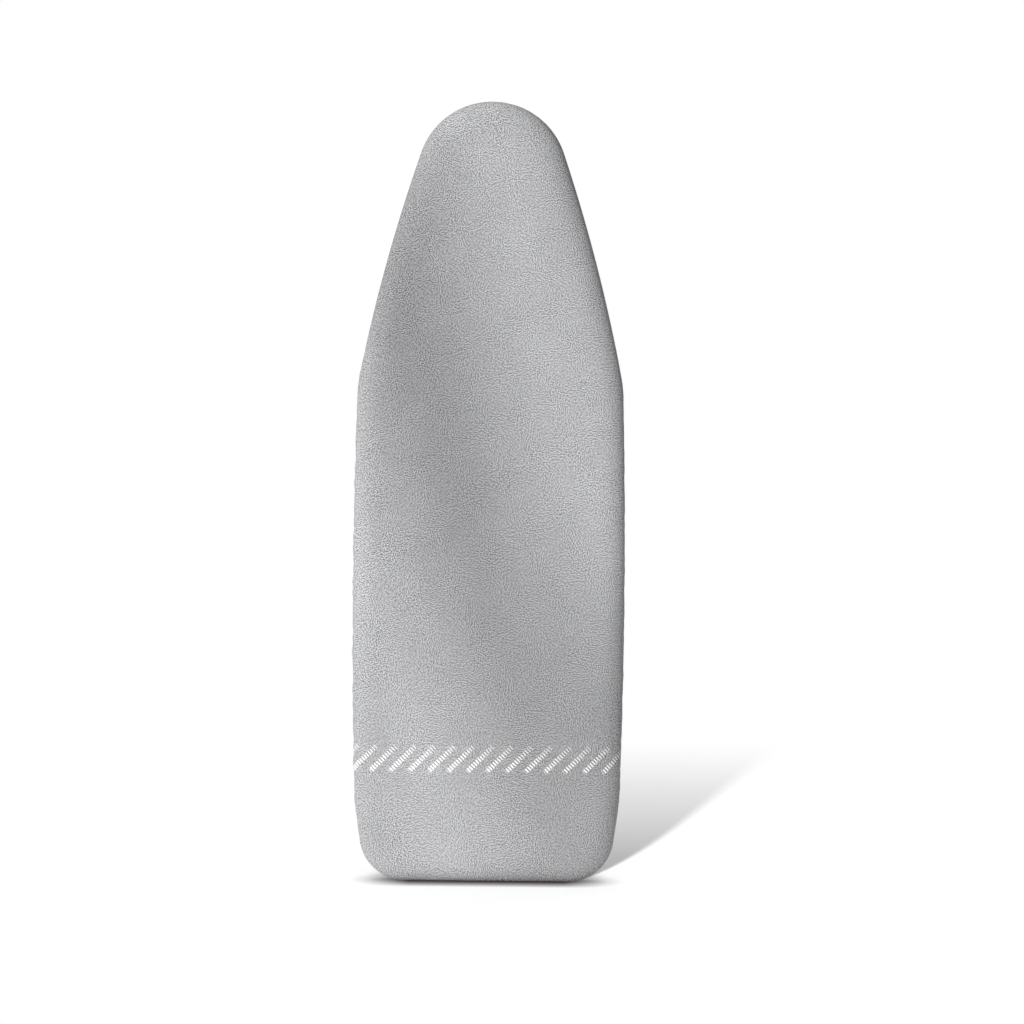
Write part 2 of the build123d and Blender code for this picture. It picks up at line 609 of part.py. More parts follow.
# Lever bracket: an angle on its own member that carries the outer end of the lever shaft.
bracket_top = SHAFT_DEPTH + 9.0
with BuildPart() as lever_bracket:
    with BuildSketch(at_side(BRACKET_OUT)):
        with Locations(((MEMBER_BACK + SHAFT_DEPTH) / 2, LEVER_MEMBER)):
            Rectangle(SHAFT_DEPTH - MEMBER_BACK, MEMBER_WIDTH - 8)
        with Locations((SHAFT_DEPTH, LEVER_MEMBER)):
            Circle(bracket_top - SHAFT_DEPTH)
    extrude(amount=BRACKET_THICKNESS)
    with Locations((lever_base_middle, MEMBER_BACK + BRACKET_BASE / 2, LEVER_MEMBER)):
        Box(24.0, BRACKET_BASE, MEMBER_WIDTH - 4)
    lying(BRACKET_OUT, SHAFT_DEPTH, LEVER_MEMBER, shaft_bush_seat, 20.0, Mode.SUBTRACT)
    for x, z in lever_rivet_places:
        with Locations(Location((x, MEMBER_BACK, z), (90, 0, 0))):
            Cylinder(rivet_hole, BRACKET_BASE * 4, mode=Mode.SUBTRACT)
save(lever_bracket, "lever_bracket")
save(rivets(lever_rivet_places, MEMBER_BACK + BRACKET_BASE), "lever_bracket_rivets")


def flanged_bush(start, way, length, height):
    """A plastic bush along X from a face, its flange outside and its sleeve going the other way."""
    lying(start - way * length / 2, SHAFT_DEPTH, height, BUSH_OUTSIDE / 2, length)
    lying(start + way * 0.75, SHAFT_DEPTH, height, BUSH_FLANGE / 2 - 1, 1.5)
    lying(start, SHAFT_DEPTH, height, SHAFT / 2 + RUNNING_GAP, 4 * length, Mode.SUBTRACT)


with BuildPart() as shaft_bushes:
    flanged_bush(RAIL_WIDTH / 2, 1, RAIL_WALL, LEVER_MEMBER)
    flanged_bush(BRACKET_OUT, -1, BRACKET_THICKNESS, LEVER_MEMBER)
save(shaft_bushes, "shaft_bushes")

# Guide pins and spacers that keep the rack upright in the rail.
with BuildPart() as rack_guide_pins:
    for height in GUIDES:
        lying(0, GUIDE_DEPTH, height, GUIDE_PIN / 2, RAIL_WIDTH + 4.0)
        for way in (-1, 1):
            lying(way * (RAIL_WIDTH / 2 + 1.0), GUIDE_DEPTH, height, GUIDE_PIN / 2 + 2.0, 2.0)
save(rack_guide_pins, "rack_guide_pins")

spacer_end = RAIL_WIDTH / 2 - RAIL_WALL
spacer_start = RACK_THICKNESS / 2 + SIDE_GAP
with BuildPart() as rack_spacers:
    for height in GUIDES:
        for way in (-1, 1):
            spacer_x = way * (spacer_end + spacer_start) / 2
            spacer_length = spacer_end - spacer_start
            lying(spacer_x, GUIDE_DEPTH, height, GUIDE_SPACER / 2, spacer_length)
        lying(0, GUIDE_DEPTH, height, GUIDE_PIN / 2 + BUSH_SEAT_GAP, RAIL_WIDTH, Mode.SUBTRACT)
save(rack_spacers, "rack_spacers")

# === Height lock ======================================================================================

# Notched rack: teeth towards the rod, slots on the guide pins, and a slot that the crank works in.
with BuildPart() as notch_rack:
    rack_bottom = NOTCHES[0] - 14.0
    rack_top = NOTCHES[-1] + 12.0
    notch_depth = LEG_DEPTH - RACK_TRAVEL
    with BuildSketch(at_side(-RACK_THICKNESS / 2)) as rack_side:
        with Locations(((RACK_BACK + RACK_TIP) / 2, (rack_bottom + rack_top) / 2)):
            Rectangle(RACK_TIP - RACK_BACK, rack_top - rack_bottom)
        with Locations(*[(notch_depth, z) for z in NOTCHES]):
            Circle(NOTCH_RADIUS, mode=Mode.SUBTRACT)
        with Locations(*[(notch_depth + NOTCH_RADIUS, z) for z in NOTCHES]):
            Rectangle(2 * NOTCH_RADIUS, 2 * NOTCH_RADIUS, mode=Mode.SUBTRACT)
        with Locations(*[(GUIDE_DEPTH - RACK_TRAVEL / 2, z) for z in GUIDES]):
            SlotCenterToCenter(RACK_TRAVEL, GUIDE_PIN + 2 * GUIDE_GAP, mode=Mode.SUBTRACT)
        crank_slot = CRANK_PIN + 2 * CRANK_SLOT_GAP
        crank_slot_run = CRANK_RADIUS - CRANK_DROP + 1.0
        with Locations(
            (SHAFT_DEPTH - CRANK_BACK, LEVER_MEMBER - (CRANK_RADIUS + CRANK_DROP) / 2)
        ):
            SlotCenterToCenter(crank_slot_run, crank_slot, rotation=90, mode=Mode.SUBTRACT)
    extrude(amount=RACK_THICKNESS)
save(notch_rack, "notch_rack")

# Lever shaft, crank with its pin, circlip and handle.
crank_start = RACK_THICKNESS / 2 + CRANK_GAP
handle_start = BRACKET_OUT + BRACKET_THICKNESS + LEVER_GAP
shaft_end = handle_start + LEVER_WIDTH - 3.0
with BuildPart() as lever_shaft:
    shaft_length = shaft_end - crank_start
    lying((shaft_end + crank_start) / 2, SHAFT_DEPTH, LEVER_MEMBER, SHAFT / 2, shaft_length)
save(lever_shaft, "lever_shaft")

pin_y = SHAFT_DEPTH - CRANK_BACK
pin_z = LEVER_MEMBER - CRANK_DROP
with BuildPart() as lever_crank:
    with BuildSketch(at_side(crank_start)):
        with Locations((SHAFT_DEPTH, LEVER_MEMBER)):
            Circle(SHAFT / 2 + 3.0)
        with Locations((pin_y, pin_z)):
            Circle(CRANK_PIN / 2 + 1.5)
        make_hull()
        with Locations((SHAFT_DEPTH, LEVER_MEMBER)):
            Circle(SHAFT / 2 + 0.02, mode=Mode.SUBTRACT)
    extrude(amount=CRANK_THICKNESS)
    pin_length = crank_start + RACK_THICKNESS / 2 + 2.5
    lying(crank_start - pin_length / 2 + 0.5, pin_y, pin_z, CRANK_PIN / 2, pin_length)
save(lever_crank, "lever_crank")

with BuildPart() as shaft_circlip:
    circlip_x = RAIL_WIDTH / 2 + 1.5 + SIDE_GAP + 0.5
    lying(circlip_x, SHAFT_DEPTH, LEVER_MEMBER, CIRCLIP / 2, 1.0)
    lying(circlip_x, SHAFT_DEPTH, LEVER_MEMBER, SHAFT / 2 + 0.02, 4.0, Mode.SUBTRACT)
    with Locations((circlip_x, SHAFT_DEPTH + CIRCLIP / 2, LEVER_MEMBER)):
        Box(4.0, CIRCLIP, 3.0, mode=Mode.SUBTRACT)
save(shaft_circlip, "shaft_circlip")

handle_middle = handle_start + LEVER_WIDTH / 2
with BuildPart() as lever_handle:
    with BuildSketch(at_side(handle_start)):
        with Locations((SHAFT_DEPTH, LEVER_MEMBER)):
            Circle(LEVER_HUB / 2)
        with Locations((SHAFT_DEPTH, LEVER_MEMBER - LEVER_LENGTH + LEVER_THICKNESS / 2)):
            Circle(LEVER_THICKNESS / 2)
        make_hull()
    extrude(amount=LEVER_WIDTH)
    fillet(lever_handle.faces().filter_by(Axis.X).edges(), 3.0)
    blind = shaft_end - handle_start
    lying(handle_start + blind / 2, SHAFT_DEPTH, LEVER_MEMBER, SHAFT / 2 + 0.02, blind, Mode.SUBTRACT)
save(lever_handle, "lever_handle")

# === Legs =============================================================================================


def upright_tube(x, bottom, top, foot_height, cross_holes):
    """A leg tube that is coped to its foot bar and drilled across for its pivots or rod."""
    with BuildPart() as body:
        with BuildSketch(Plane.XY.offset(bottom)):
            with Locations((x, LEG_DEPTH)):
                Circle(LEG_TUBE / 2)
                Circle(LEG_TUBE / 2 - TUBE_WALL, mode=Mode.SUBTRACT)
        extrude(amount=top - bottom)
        lying(x, LEG_DEPTH, foot_height, FOOT_TUBE / 2, LENGTH, Mode.SUBTRACT)
        for height, radius in cross_holes:
            lying(x, LEG_DEPTH, height, radius, LEG_TUBE * 2, Mode.SUBTRACT)
    return body


def cross_bar(height, tube, length, wall=TUBE_WALL):
    """A tube across the board, such as a foot bar or a brace."""
    with BuildPart() as body:
        lying(0, LEG_DEPTH, height, tube / 2, length)
        lying(0, LEG_DEPTH, height, tube / 2 - wall, length, Mode.SUBTRACT)
    return body


def foot_cap(side, foot_length, height):
    """A rubber cap over one end of a foot bar, with grip grooves round it."""
    outer_end = side * foot_length / 2
    middle_x = outer_end - side * CAP_LENGTH / 2
    with BuildPart() as body:
        lying(middle_x, LEG_DEPTH, height, FOOT_CAP / 2, CAP_LENGTH)
        fillet(body.edges().filter_by(GeomType.CIRCLE), CAP_ROUND)
        for groove in range(CAP_GROOVES):
            groove_x = middle_x + (groove - (CAP_GROOVES - 1) / 2) * CAP_GROOVE_PITCH
            with Locations(Location((groove_x, LEG_DEPTH, height), (0, 90, 0))):
                Torus(FOOT_CAP / 2 + 0.5, 1.0 + CAP_GROOVE_DEPTH * 0.5, mode=Mode.SUBTRACT)
        bore = CAP_LENGTH - CAP_END
        bore_x = outer_end - side * (CAP_END + bore / 2)
        lying(bore_x, LEG_DEPTH, height, FOOT_TUBE / 2 + BUSH_SEAT_GAP, bore, Mode.SUBTRACT)
    return body


bush_seat = BUSH_OUTSIDE / 2 + BUSH_SEAT_GAP
flange_end = LEG_TUBE / 2 + BUSH_SEAT_GAP + BUSH_FLANGE_THICKNESS


def pivot_bush_pairs(spread, height):
    """Two flanged bushes in each leg tube, one from either side, with the bolt's bore through."""
    with BuildPart() as body:
        for side in (-1, 1):
            for way in (-1, 1):
                x = side * spread
                sleeve = flange_end - 0.1
                lying(x + way * (0.1 + sleeve / 2), LEG_DEPTH, height, BUSH_OUTSIDE / 2, sleeve)
                flange_x = x + way * (flange_end - BUSH_FLANGE_THICKNESS / 2)
                lying(flange_x, LEG_DEPTH, height, BUSH_FLANGE / 2, BUSH_FLANGE_THICKNESS)
        lying(0, LEG_DEPTH, height, BORE, WIDTH, Mode.SUBTRACT)
    return body


# Outer leg: it hangs from the fixed pivot, with its wide foot at the tail.
pivot_holes = [(PIVOT_HEIGHT, bush_seat), (CROSSING, PIVOT_BOLT / 2 + BUSH_SEAT_GAP)]
for side, name in SIDES:
    x = side * OUTER_SPREAD
    tube = upright_tube(x, FOOT_HEIGHT, PIVOT_HEIGHT + TUBE_OVERRUN, FOOT_HEIGHT, pivot_holes)
    save(tube, f"outer_leg_tube_{name}")
    save(foot_cap(side, TAIL_FOOT_LENGTH, FOOT_HEIGHT), f"tail_foot_cap_{name}")
save(cross_bar(FOOT_HEIGHT, FOOT_TUBE, TAIL_FOOT_LENGTH - 2 * CAP_END - 0.2), "tail_foot_bar")
save(pivot_bush_pairs(OUTER_SPREAD, PIVOT_HEIGHT), "top_pivot_bushes")

plug_radius = LEG_TUBE / 2 - TUBE_WALL - BUSH_SEAT_GAP
with BuildPart() as outer_tube_plugs:
    for side in (-1, 1):
        with Locations((side * OUTER_SPREAD, LEG_DEPTH, PIVOT_HEIGHT + TUBE_OVERRUN + 1.25)):
            Cylinder(LEG_TUBE / 2, 2.5)
        with Locations((side * OUTER_SPREAD, LEG_DEPTH, PIVOT_HEIGHT + TUBE_OVERRUN - 3.0)):
            Cylinder(plug_radius, 6.0)
    fillet(outer_tube_plugs.faces().group_by(Axis.Z)[-1].edges(), 1.5)
save(outer_tube_plugs, "outer_tube_plugs")

# Crossing bolts: fixed in the outer tubes, turning in bushes in the inner ones.
bolt_far = OUTER_SPREAD + LEG_TUBE / 2
bolt_near = INNER_SPREAD - LEG_TUBE / 2 - WASHER_THICKNESS - NUT_HEIGHT - 1.0
with BuildPart() as crossing_bolts:
    for side in (-1, 1):
        bolt_x = side * (bolt_far + bolt_near) / 2
        lying(bolt_x, LEG_DEPTH, CROSSING, PIVOT_BOLT / 2, bolt_far - bolt_near)
        head_x = side * (bolt_far + BOLT_HEAD_HEIGHT / 2)
        lying(head_x, LEG_DEPTH, CROSSING, BOLT_HEAD / 2, BOLT_HEAD_HEIGHT)
save(crossing_bolts, "crossing_bolts")

nut_x = INNER_SPREAD - flange_end - EAR_GAP
with BuildPart() as crossing_nuts:
    for side in (-1, 1):
        with BuildSketch(at_side(side * (nut_x - WASHER_THICKNESS))):
            with Locations((LEG_DEPTH, CROSSING)):
                RegularPolygon(NUT_WIDTH / 2, 6, major_radius=False)
        extrude(amount=-side * (NUT_HEIGHT - 1.0))
        lying(side * (nut_x - WASHER_THICKNESS / 2), LEG_DEPTH, CROSSING, WASHER / 2, WASHER_THICKNESS)
    lying(0, LEG_DEPTH, CROSSING, PIVOT_BOLT / 2 + 0.02, WIDTH, Mode.SUBTRACT)
save(crossing_nuts, "crossing_nuts")

spacer_inside = INNER_SPREAD + flange_end + EAR_GAP
spacer_outside = OUTER_SPREAD - LEG_TUBE / 2
with BuildPart() as crossing_spacers:
    for side in (-1, 1):
        spacer_x = side * (spacer_inside + spacer_outside) / 2
        lying(spacer_x, LEG_DEPTH, CROSSING, WASHER / 2, spacer_outside - spacer_inside)
    lying(0, LEG_DEPTH, CROSSING, PIVOT_BOLT / 2 + BUSH_SEAT_GAP, WIDTH, Mode.SUBTRACT)
save(crossing_spacers, "crossing_spacers")

# Inner leg: its rod slides in the rail, with its narrow foot behind the nose.
inner_holes = [(CROSSING, bush_seat), (ROD_HEIGHT, SLIDE_ROD / 2 + 0.02)]
for side, name in SIDES:
    x = side * INNER_SPREAD
    tube = upright_tube(x, ROD_HEIGHT - TUBE_OVERRUN, INNER_FOOT, INNER_FOOT, inner_holes)
    save(tube, f"inner_leg_tube_{name}")
    save(foot_cap(side, NOSE_FOOT_LENGTH, INNER_FOOT), f"nose_foot_cap_{name}")
save(cross_bar(INNER_FOOT, FOOT_TUBE, NOSE_FOOT_LENGTH - 2 * CAP_END - 0.2), "nose_foot_bar")
save(pivot_bush_pairs(INNER_SPREAD, CROSSING), "crossing_bushes")

with BuildPart() as inner_brace:
    add(cross_bar(BRACE_HEIGHT, BRACE_TUBE, 2 * INNER_SPREAD, 1.2).part)
    for side in (-1, 1):
        with Locations((side * INNER_SPREAD, LEG_DEPTH, BRACE_HEIGHT)):
            Cylinder(LEG_TUBE / 2, LEG_TUBE * 2, mode=Mode.SUBTRACT)
save(inner_brace, "inner_brace")

with BuildPart() as inner_tube_plugs:
    for side in (-1, 1):
        with Locations((side * INNER_SPREAD, LEG_DEPTH, ROD_HEIGHT - TUBE_OVERRUN - 1.25)):
            Cylinder(LEG_TUBE / 2, 2.5)
        with Locations((side * INNER_SPREAD, LEG_DEPTH, ROD_HEIGHT - TUBE_OVERRUN + 3.0)):
            Cylinder(plug_radius, 6.0)
    fillet(inner_tube_plugs.faces().group_by(Axis.Z)[0].edges(), 1.5)
save(inner_tube_plugs, "inner_tube_plugs")

with BuildPart() as slide_rod:
    lying(0, LEG_DEPTH, ROD_HEIGHT, SLIDE_ROD / 2, 2 * INNER_SPREAD + LEG_TUBE + 2.0)
    fillet(slide_rod.edges().filter_by(GeomType.CIRCLE), 0.8)
save(slide_rod, "slide_rod")

with BuildPart() as rail_glides:
    web_inside = RAIL_WIDTH / 2 - RAIL_WALL - SIDE_GAP
    web_outside = RAIL_WIDTH / 2 + SIDE_GAP
    flange = GLIDE_FLANGE_THICKNESS
    for side in (-1, 1):
        glide_x = side * (web_inside + web_outside) / 2
        glide_length = web_outside - web_inside + 2 * flange
        lying(glide_x, LEG_DEPTH, ROD_HEIGHT, GLIDE / 2, glide_length)
        for flange_x in (web_inside - flange / 2, web_outside + flange / 2):
            lying(side * flange_x, LEG_DEPTH, ROD_HEIGHT, GLIDE_FLANGE / 2, flange)
    lying(0, LEG_DEPTH, ROD_HEIGHT, SLIDE_ROD / 2 + 0.03, RAIL_WIDTH * 2, Mode.SUBTRACT)
save(rail_glides, "rail_glides")

print("outer legs at", round(OUTER_SPREAD, 2), "inner legs at", round(INNER_SPREAD, 2))
print("lever bracket at", round(BRACKET_OUT, 2))
surface_heights = [
    OUTER_LEG * sin(radians(angle)) + LEG_DEPTH - FRONT + FOOT_HEIGHT for angle in STOPS[1:]
]
print("heights of the ironing face in use:", [round(height) for height in surface_heights])
print("rack travel", round(RACK_TRAVEL, 3), "notches", [round(z, 1) for z in NOTCHES])
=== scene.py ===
# %% [markdown]
# # A folding ironing board, stored on its tail edge
# The frame already holds every hard part of the board: rim, channels, rail, legs and lever, each at its
# real size and place. What it can't give is cloth. So this lesson makes the soft pieces (cover, gathered
# hem, felt), the fine steel mesh and the welds as surfaces worked out with numpy, and then gives a finish
# to every part. All lengths are metres: X runs across the board, -Y is the ironing side, +Z is up to the
# nose, and the origin is the middle of the tail edge on the floor.

# %% Load the frame
import json
import math

import bmesh
import bpy
import numpy as np
from mathutils import Matrix, Vector


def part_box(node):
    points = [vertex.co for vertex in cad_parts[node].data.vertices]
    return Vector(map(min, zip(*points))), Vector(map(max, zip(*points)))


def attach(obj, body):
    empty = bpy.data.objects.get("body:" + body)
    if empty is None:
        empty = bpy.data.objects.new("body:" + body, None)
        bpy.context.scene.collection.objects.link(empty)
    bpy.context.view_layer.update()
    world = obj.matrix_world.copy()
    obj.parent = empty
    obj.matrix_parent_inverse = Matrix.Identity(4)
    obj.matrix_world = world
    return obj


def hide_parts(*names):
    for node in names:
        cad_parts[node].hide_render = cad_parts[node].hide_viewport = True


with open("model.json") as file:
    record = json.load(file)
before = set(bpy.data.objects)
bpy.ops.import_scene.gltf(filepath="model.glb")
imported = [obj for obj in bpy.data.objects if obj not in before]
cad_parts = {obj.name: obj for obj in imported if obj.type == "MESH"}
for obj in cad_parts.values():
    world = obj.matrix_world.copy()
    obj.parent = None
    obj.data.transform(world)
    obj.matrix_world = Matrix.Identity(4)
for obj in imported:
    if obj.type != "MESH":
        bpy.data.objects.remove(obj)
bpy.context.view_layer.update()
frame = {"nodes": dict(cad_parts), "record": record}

nodes = frame["nodes"]

# %% [markdown]
# ## The outline
# Seen from the front the board is a chain of arcs that run into each other without a corner: a round
# nose, long bowed flanks, shoulders, sides, hips, and a short straight tail with round corners. A chain
# like that needs no points. Each run is said by its radius and by the way its outward normal faces at
# its end, and everything else made below (cover, hem, felt, mesh) is this one curve moved inwards.

# %% The runs of the right half, from the nose tip to the middle of the tail
NOSE_RADIUS = 0.1146
FLANK_RADIUS = 2.570
SHOULDER_RADIUS = 0.200
SIDE_RADIUS = 10.207
HIP_RADIUS = 0.260
CORNER_RADIUS = 0.071
TAIL_SIDE = 0.04917  # straight run between hip and corner
HALF_TAIL = 0.12521  # straight run from a corner to the middle
# (radius, degrees that the outward normal faces at the end), or (None, length) for a straight run
RUNS = [
    (NOSE_RADIUS, 18.973),
    (FLANK_RADIUS, 11.153),
    (SHOULDER_RADIUS, 1.859),
    (SIDE_RADIUS, -1.587),
    (HIP_RADIUS, -7.842),
    (None, TAIL_SIDE),
    (CORNER_RADIUS, -90.0),
    (None, HALF_TAIL),
]
NOSE_TIP = (0.0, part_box("cover")[1].z)


def chain(runs, start):
    """Where each run starts: distance along, facing, bend and point. An arc of radius r that turns by t
    is r t long and moves the point by r times the change of the normal (cos f, sin f); a straight run
    moves it along the tangent (sin f, -cos f)."""
    distance, facing, point = 0.0, math.pi / 2, np.array(start)
    rows = []
    for radius, end in runs:
        rows.append((distance, facing, 0.0 if radius is None else 1 / radius, *point))
        if radius is None:
            point = point + end * np.array([math.sin(facing), -math.cos(facing)])
            distance += end
        else:
            turned = math.radians(end)
            point = point + radius * (
                np.array([math.cos(turned), math.sin(turned)]) - [math.cos(facing), math.sin(facing)]
            )
            distance += radius * (facing - turned)
            facing = turned
    return np.array(rows), distance, point


runs, HALF_ROUND, tail_middle = chain(RUNS, NOSE_TIP)
ROUND = 2 * HALF_ROUND
print("once round the board:", round(ROUND, 4), "m; the chain ends at", tail_middle.round(4))

# %% A point of the outline, at any distance along it
def outline(distance):
    """Points, outward normals and bends at distances clockwise from the nose tip. Inside a run the
    facing falls by distance times bend. The left half is the right half mirrored."""
    distance = np.mod(distance, ROUND)
    left = distance > HALF_ROUND
    along = np.where(left, ROUND - distance, distance)
    run = runs[np.searchsorted(runs[:, 0], along, side="right") - 1]
    into, facing, bend = along - run[..., 0], run[..., 1], run[..., 2]
    turned = facing - into * bend
    normal = np.stack([np.cos(turned), np.sin(turned)], -1)
    arc = (normal - np.stack([np.cos(facing), np.sin(facing)], -1)) / np.maximum(bend, 1e-9)[..., None]
    straight = into[..., None] * np.stack([np.sin(facing), -np.cos(facing)], -1)
    point = run[..., 3:] + np.where(bend[..., None] > 0, arc, straight)
    mirror = np.stack([np.where(left, -1.0, 1.0), np.ones_like(along)], -1)
    return point * mirror, normal * mirror, bend


def stations(count, closeness=0.05):
    """Distances round the board, closer together where it bends: equal steps of the sum of
    (1 + closeness times bend). The last one is the first again, a whole round later."""
    fine = np.linspace(0, ROUND, 20001)
    weight = 1 + closeness * outline(fine)[2]
    total = np.concatenate([[0], np.cumsum((weight[1:] + weight[:-1]) / 2)])
    return np.interp(np.linspace(0, total[-1], count + 1), total, fine)


print("widest at x =", round(float(outline(np.linspace(0, ROUND, 2001))[0][:, 0].max()), 4))

# %% [markdown]
# ## Turning a grid of numbers into a piece
# Every new piece below is a grid: one direction goes round or along, the other goes across. Neighbouring
# points make four-sided faces. Where two points fall together (the seam of a ring, the middle of a
# face) they are merged, so that seams and poles are closed. The cloth's UV map is laid in metres, so
# a 2 mm fibre in a material is 2 mm on the real thing.

# %% The maker of pieces
def skin(name, grid, uv=None):
    """A mesh object from points in rows and columns. A face's normal is along the row crossed with
    down the column. uv holds the two flat coordinates of each point, in metres."""
    rows, columns = grid.shape[:2]
    corner = (np.arange(rows - 1)[:, None] * columns + np.arange(columns - 1)).ravel()
    faces = np.stack([corner, corner + 1, corner + columns + 1, corner + columns], -1)
    return piece_of(name, grid.reshape(-1, 3), faces, None if uv is None else uv.reshape(-1, 2))


def piece_of(name, points, faces, uv=None):
    """A mesh object from points and faces, smooth, with points that fall together merged."""
    mesh = bpy.data.meshes.new(name)
    mesh.from_pydata(points.tolist(), [], faces.tolist())
    if uv is not None:
        layer = mesh.uv_layers.new(name="flat")
        layer.data.foreach_set("uv", uv[faces.ravel()].astype(np.float32).ravel())
    work = bmesh.new()
    work.from_mesh(mesh)
    bmesh.ops.remove_doubles(work, verts=work.verts, dist=2e-5)
    work.to_mesh(mesh)
    work.free()
    mesh.polygons.foreach_set("use_smooth", np.ones(len(mesh.polygons), bool))
    made = bpy.data.objects.new(name, mesh)
    bpy.context.scene.collection.objects.link(made)
    return made


def give_wall(piece, wall, side=-1.0):
    """A live Solidify modifier: side -1 keeps the outside where it is and grows inwards."""
    solidify = piece.modifiers.new("wall", "SOLIDIFY")
    solidify.thickness, solidify.offset, solidify.use_even_offset = wall, side, False
    return piece


def smooth_step(value):
    """0 below 0, 1 above 1, and 3 v squared - 2 v cubed between."""
    value = np.clip(value, 0, 1)
    return value * value * (3 - 2 * value)


def at_depth(place, depth):
    """Points from places in the plane of the outline, X and Z, and their depth, Y."""
    return np.stack([place[..., 0], np.broadcast_to(depth, place.shape[:-1]), place[..., 1]], -1)


print("helpers ready: skin, piece_of, give_wall, smooth_step, at_depth")

# %% [markdown]
# ## How the cloth is gathered
# The cover is cut flat, larger than the board, and an elastic cord in its hem draws it in behind. Where
# the outline is nearly straight there is little spare cloth. Round the nose and the two tail corners the
# cut edge is several times longer than the hem, and the spare length stands up in pleats. One function
# gives a pleat's height and phase anywhere along the hem, so the cover, its hem tape and the stitches all
# share the same pleats. They could come from a cloth simulation, but a formula keeps them
# crisp, repeatable and light.

# %% Pleats along the hem
FRONT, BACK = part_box("cover")[0].y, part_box("cover")[1].y
HEM_INSET = 0.046  # from the outline in to the hem
CUT_BEYOND = 0.0697  # how far the flat cut passes the outline
PLEAT = 0.0115  # one pleat along the hem
HIGHEST_PLEAT = 0.0060
EASE = 0.0006  # what stands up even on the straight sides
FULLNESS = 0.9  # share of a pleat's full height that it stands up
SLACK_BELOW = 0.003  # pleats lower than this come further apart
SLACK = 1.1  # and by up to this share
FINE_COUNT = 8192  # places round the outline where the pleats are worked out
BLEND = 70  # of those places, over which the height is blended
WANDER = ((0.28, 11, 0.7), (0.2, 29, 0.0))  # share, waves in a round, start: pleats of unlike width
CREST_ROUND = 0.8  # under 1 makes crests broad and folds narrow


def smoothed(values, width):
    """A mean under a bell-shaped window that slides round the closed outline, taken by multiplying the
    Fourier transforms of both. width is the bell's spread, in places."""
    half = len(values) // 2
    window = np.exp(-0.5 * ((np.arange(len(values)) - half) / width) ** 2)
    window = np.roll(window / window.sum(), -half)
    return np.real(np.fft.ifft(np.fft.fft(values) * np.fft.fft(window)))


fine = np.linspace(0, ROUND, FINE_COUNT, endpoint=False)
fine_bend = outline(fine)[2]
spare = (1 + CUT_BEYOND * fine_bend) / (1 - HEM_INSET * fine_bend)  # cut length over hem length
fine_height = np.clip(PLEAT / math.pi * np.sqrt(spare - 1) * FULLNESS, EASE, HIGHEST_PLEAT)
fine_height = smoothed(fine_height, BLEND)
hem_step = ROUND / len(fine) * (1 - HEM_INSET * fine_bend)
wander = sum((part * np.sin(waves * 2 * np.pi * fine / ROUND + start) for part, waves, start in WANDER), 1)
wider = 1 + SLACK * smooth_step(1 - fine_height / SLACK_BELOW)  # slack on the sides makes longer waves
fine_turns = np.cumsum(hem_step / PLEAT * wander / wider)
fine_turns *= round(fine_turns[-1]) / fine_turns[-1]


def pleats(distance):
    """Height of the gathers and a wave from 0 in a fold to 1 on a crest: the size of the sine of pi times
    the turns, to a power under 1, which makes the crests round and the folds sharp."""
    distance = np.mod(distance, ROUND)
    height = np.interp(distance, fine, fine_height, period=ROUND)
    whole_round = np.append(fine_turns, fine_turns[0] + round(fine_turns[-1]))
    turns = np.interp(distance, np.append(fine, ROUND), whole_round)
    uneven = 0.75 + 0.25 * np.sin(2.4 * turns + 1.3 * np.sin(0.9 * turns))
    return height * uneven, np.abs(np.sin(np.pi * turns)) ** CREST_ROUND


print("pleats:", round(float(fine_turns[-1])), "highest", round(float(fine_height.max()) * 1000, 1), "mm")

# %% [markdown]
# ## The cover
# A cotton cover over felt has no sharp edge: the felt is soft, so the face rolls over in a long ellipse
# before the cloth goes down the side, round the back of the rim, and in to the hem. That section is one
# profile of inset and depth, and carrying it round the outline makes the whole cover. The profile's own
# length is also where each point lay on the flat cut, which is what the UV map needs.

# %% The section through the cover's edge
ROLL_IN, ROLL_DEEP = 0.036, 0.0165  # the soft front edge: how far in it starts, how deep it goes
BACK_ROUND = 0.010
HEM_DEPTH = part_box("hem_elastic")[0].y + (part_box("hem_elastic")[1].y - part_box("hem_elastic")[0].y) / 2
COVER_WALL = 0.0015
PAST_HEM = 0.002  # how far the cloth runs on under the tape
DIP_FROM, DIP_OVER = 0.020, 0.026  # the inset where it starts to sink to the hem, and how far that takes
HEM_SKIN = 0.0004  # the cloth stays this much behind the middle of the elastic


def roll(turn):
    """The rolled edge at a turn from 0 on the face to a right angle at the side: a quarter ellipse."""
    return ROLL_IN * (1 - np.sin(turn)), FRONT + ROLL_DEEP * (1 - np.cos(turn))


def cover_section():
    """Inset and depth of each row from the face's edge to the hem, and its length from there."""
    quarter = np.linspace(0, np.pi / 2, 15)
    inset, depth = roll(quarter)
    side = np.linspace(FRONT + ROLL_DEEP, BACK - BACK_ROUND, 5)[1:]
    back = np.linspace(0, np.pi / 2, 7)[1:]
    flat = np.linspace(BACK_ROUND, HEM_INSET + PAST_HEM, 14)[1:]
    dip = smooth_step((flat - DIP_FROM) / DIP_OVER) * (BACK - HEM_DEPTH - HEM_SKIN)
    inset = np.concatenate([inset, 0 * side, BACK_ROUND * (1 - np.cos(back)), flat])
    depth = np.concatenate([depth, side, BACK - BACK_ROUND * (1 - np.sin(back)), BACK - dip])
    step = np.hypot(np.diff(inset), np.diff(depth))
    return inset, depth, np.concatenate([[0], np.cumsum(step)])


section_inset, section_depth, section_length = cover_section()
print("rows of the section:", len(section_inset), "length", round(float(section_length[-1]), 4), "m")

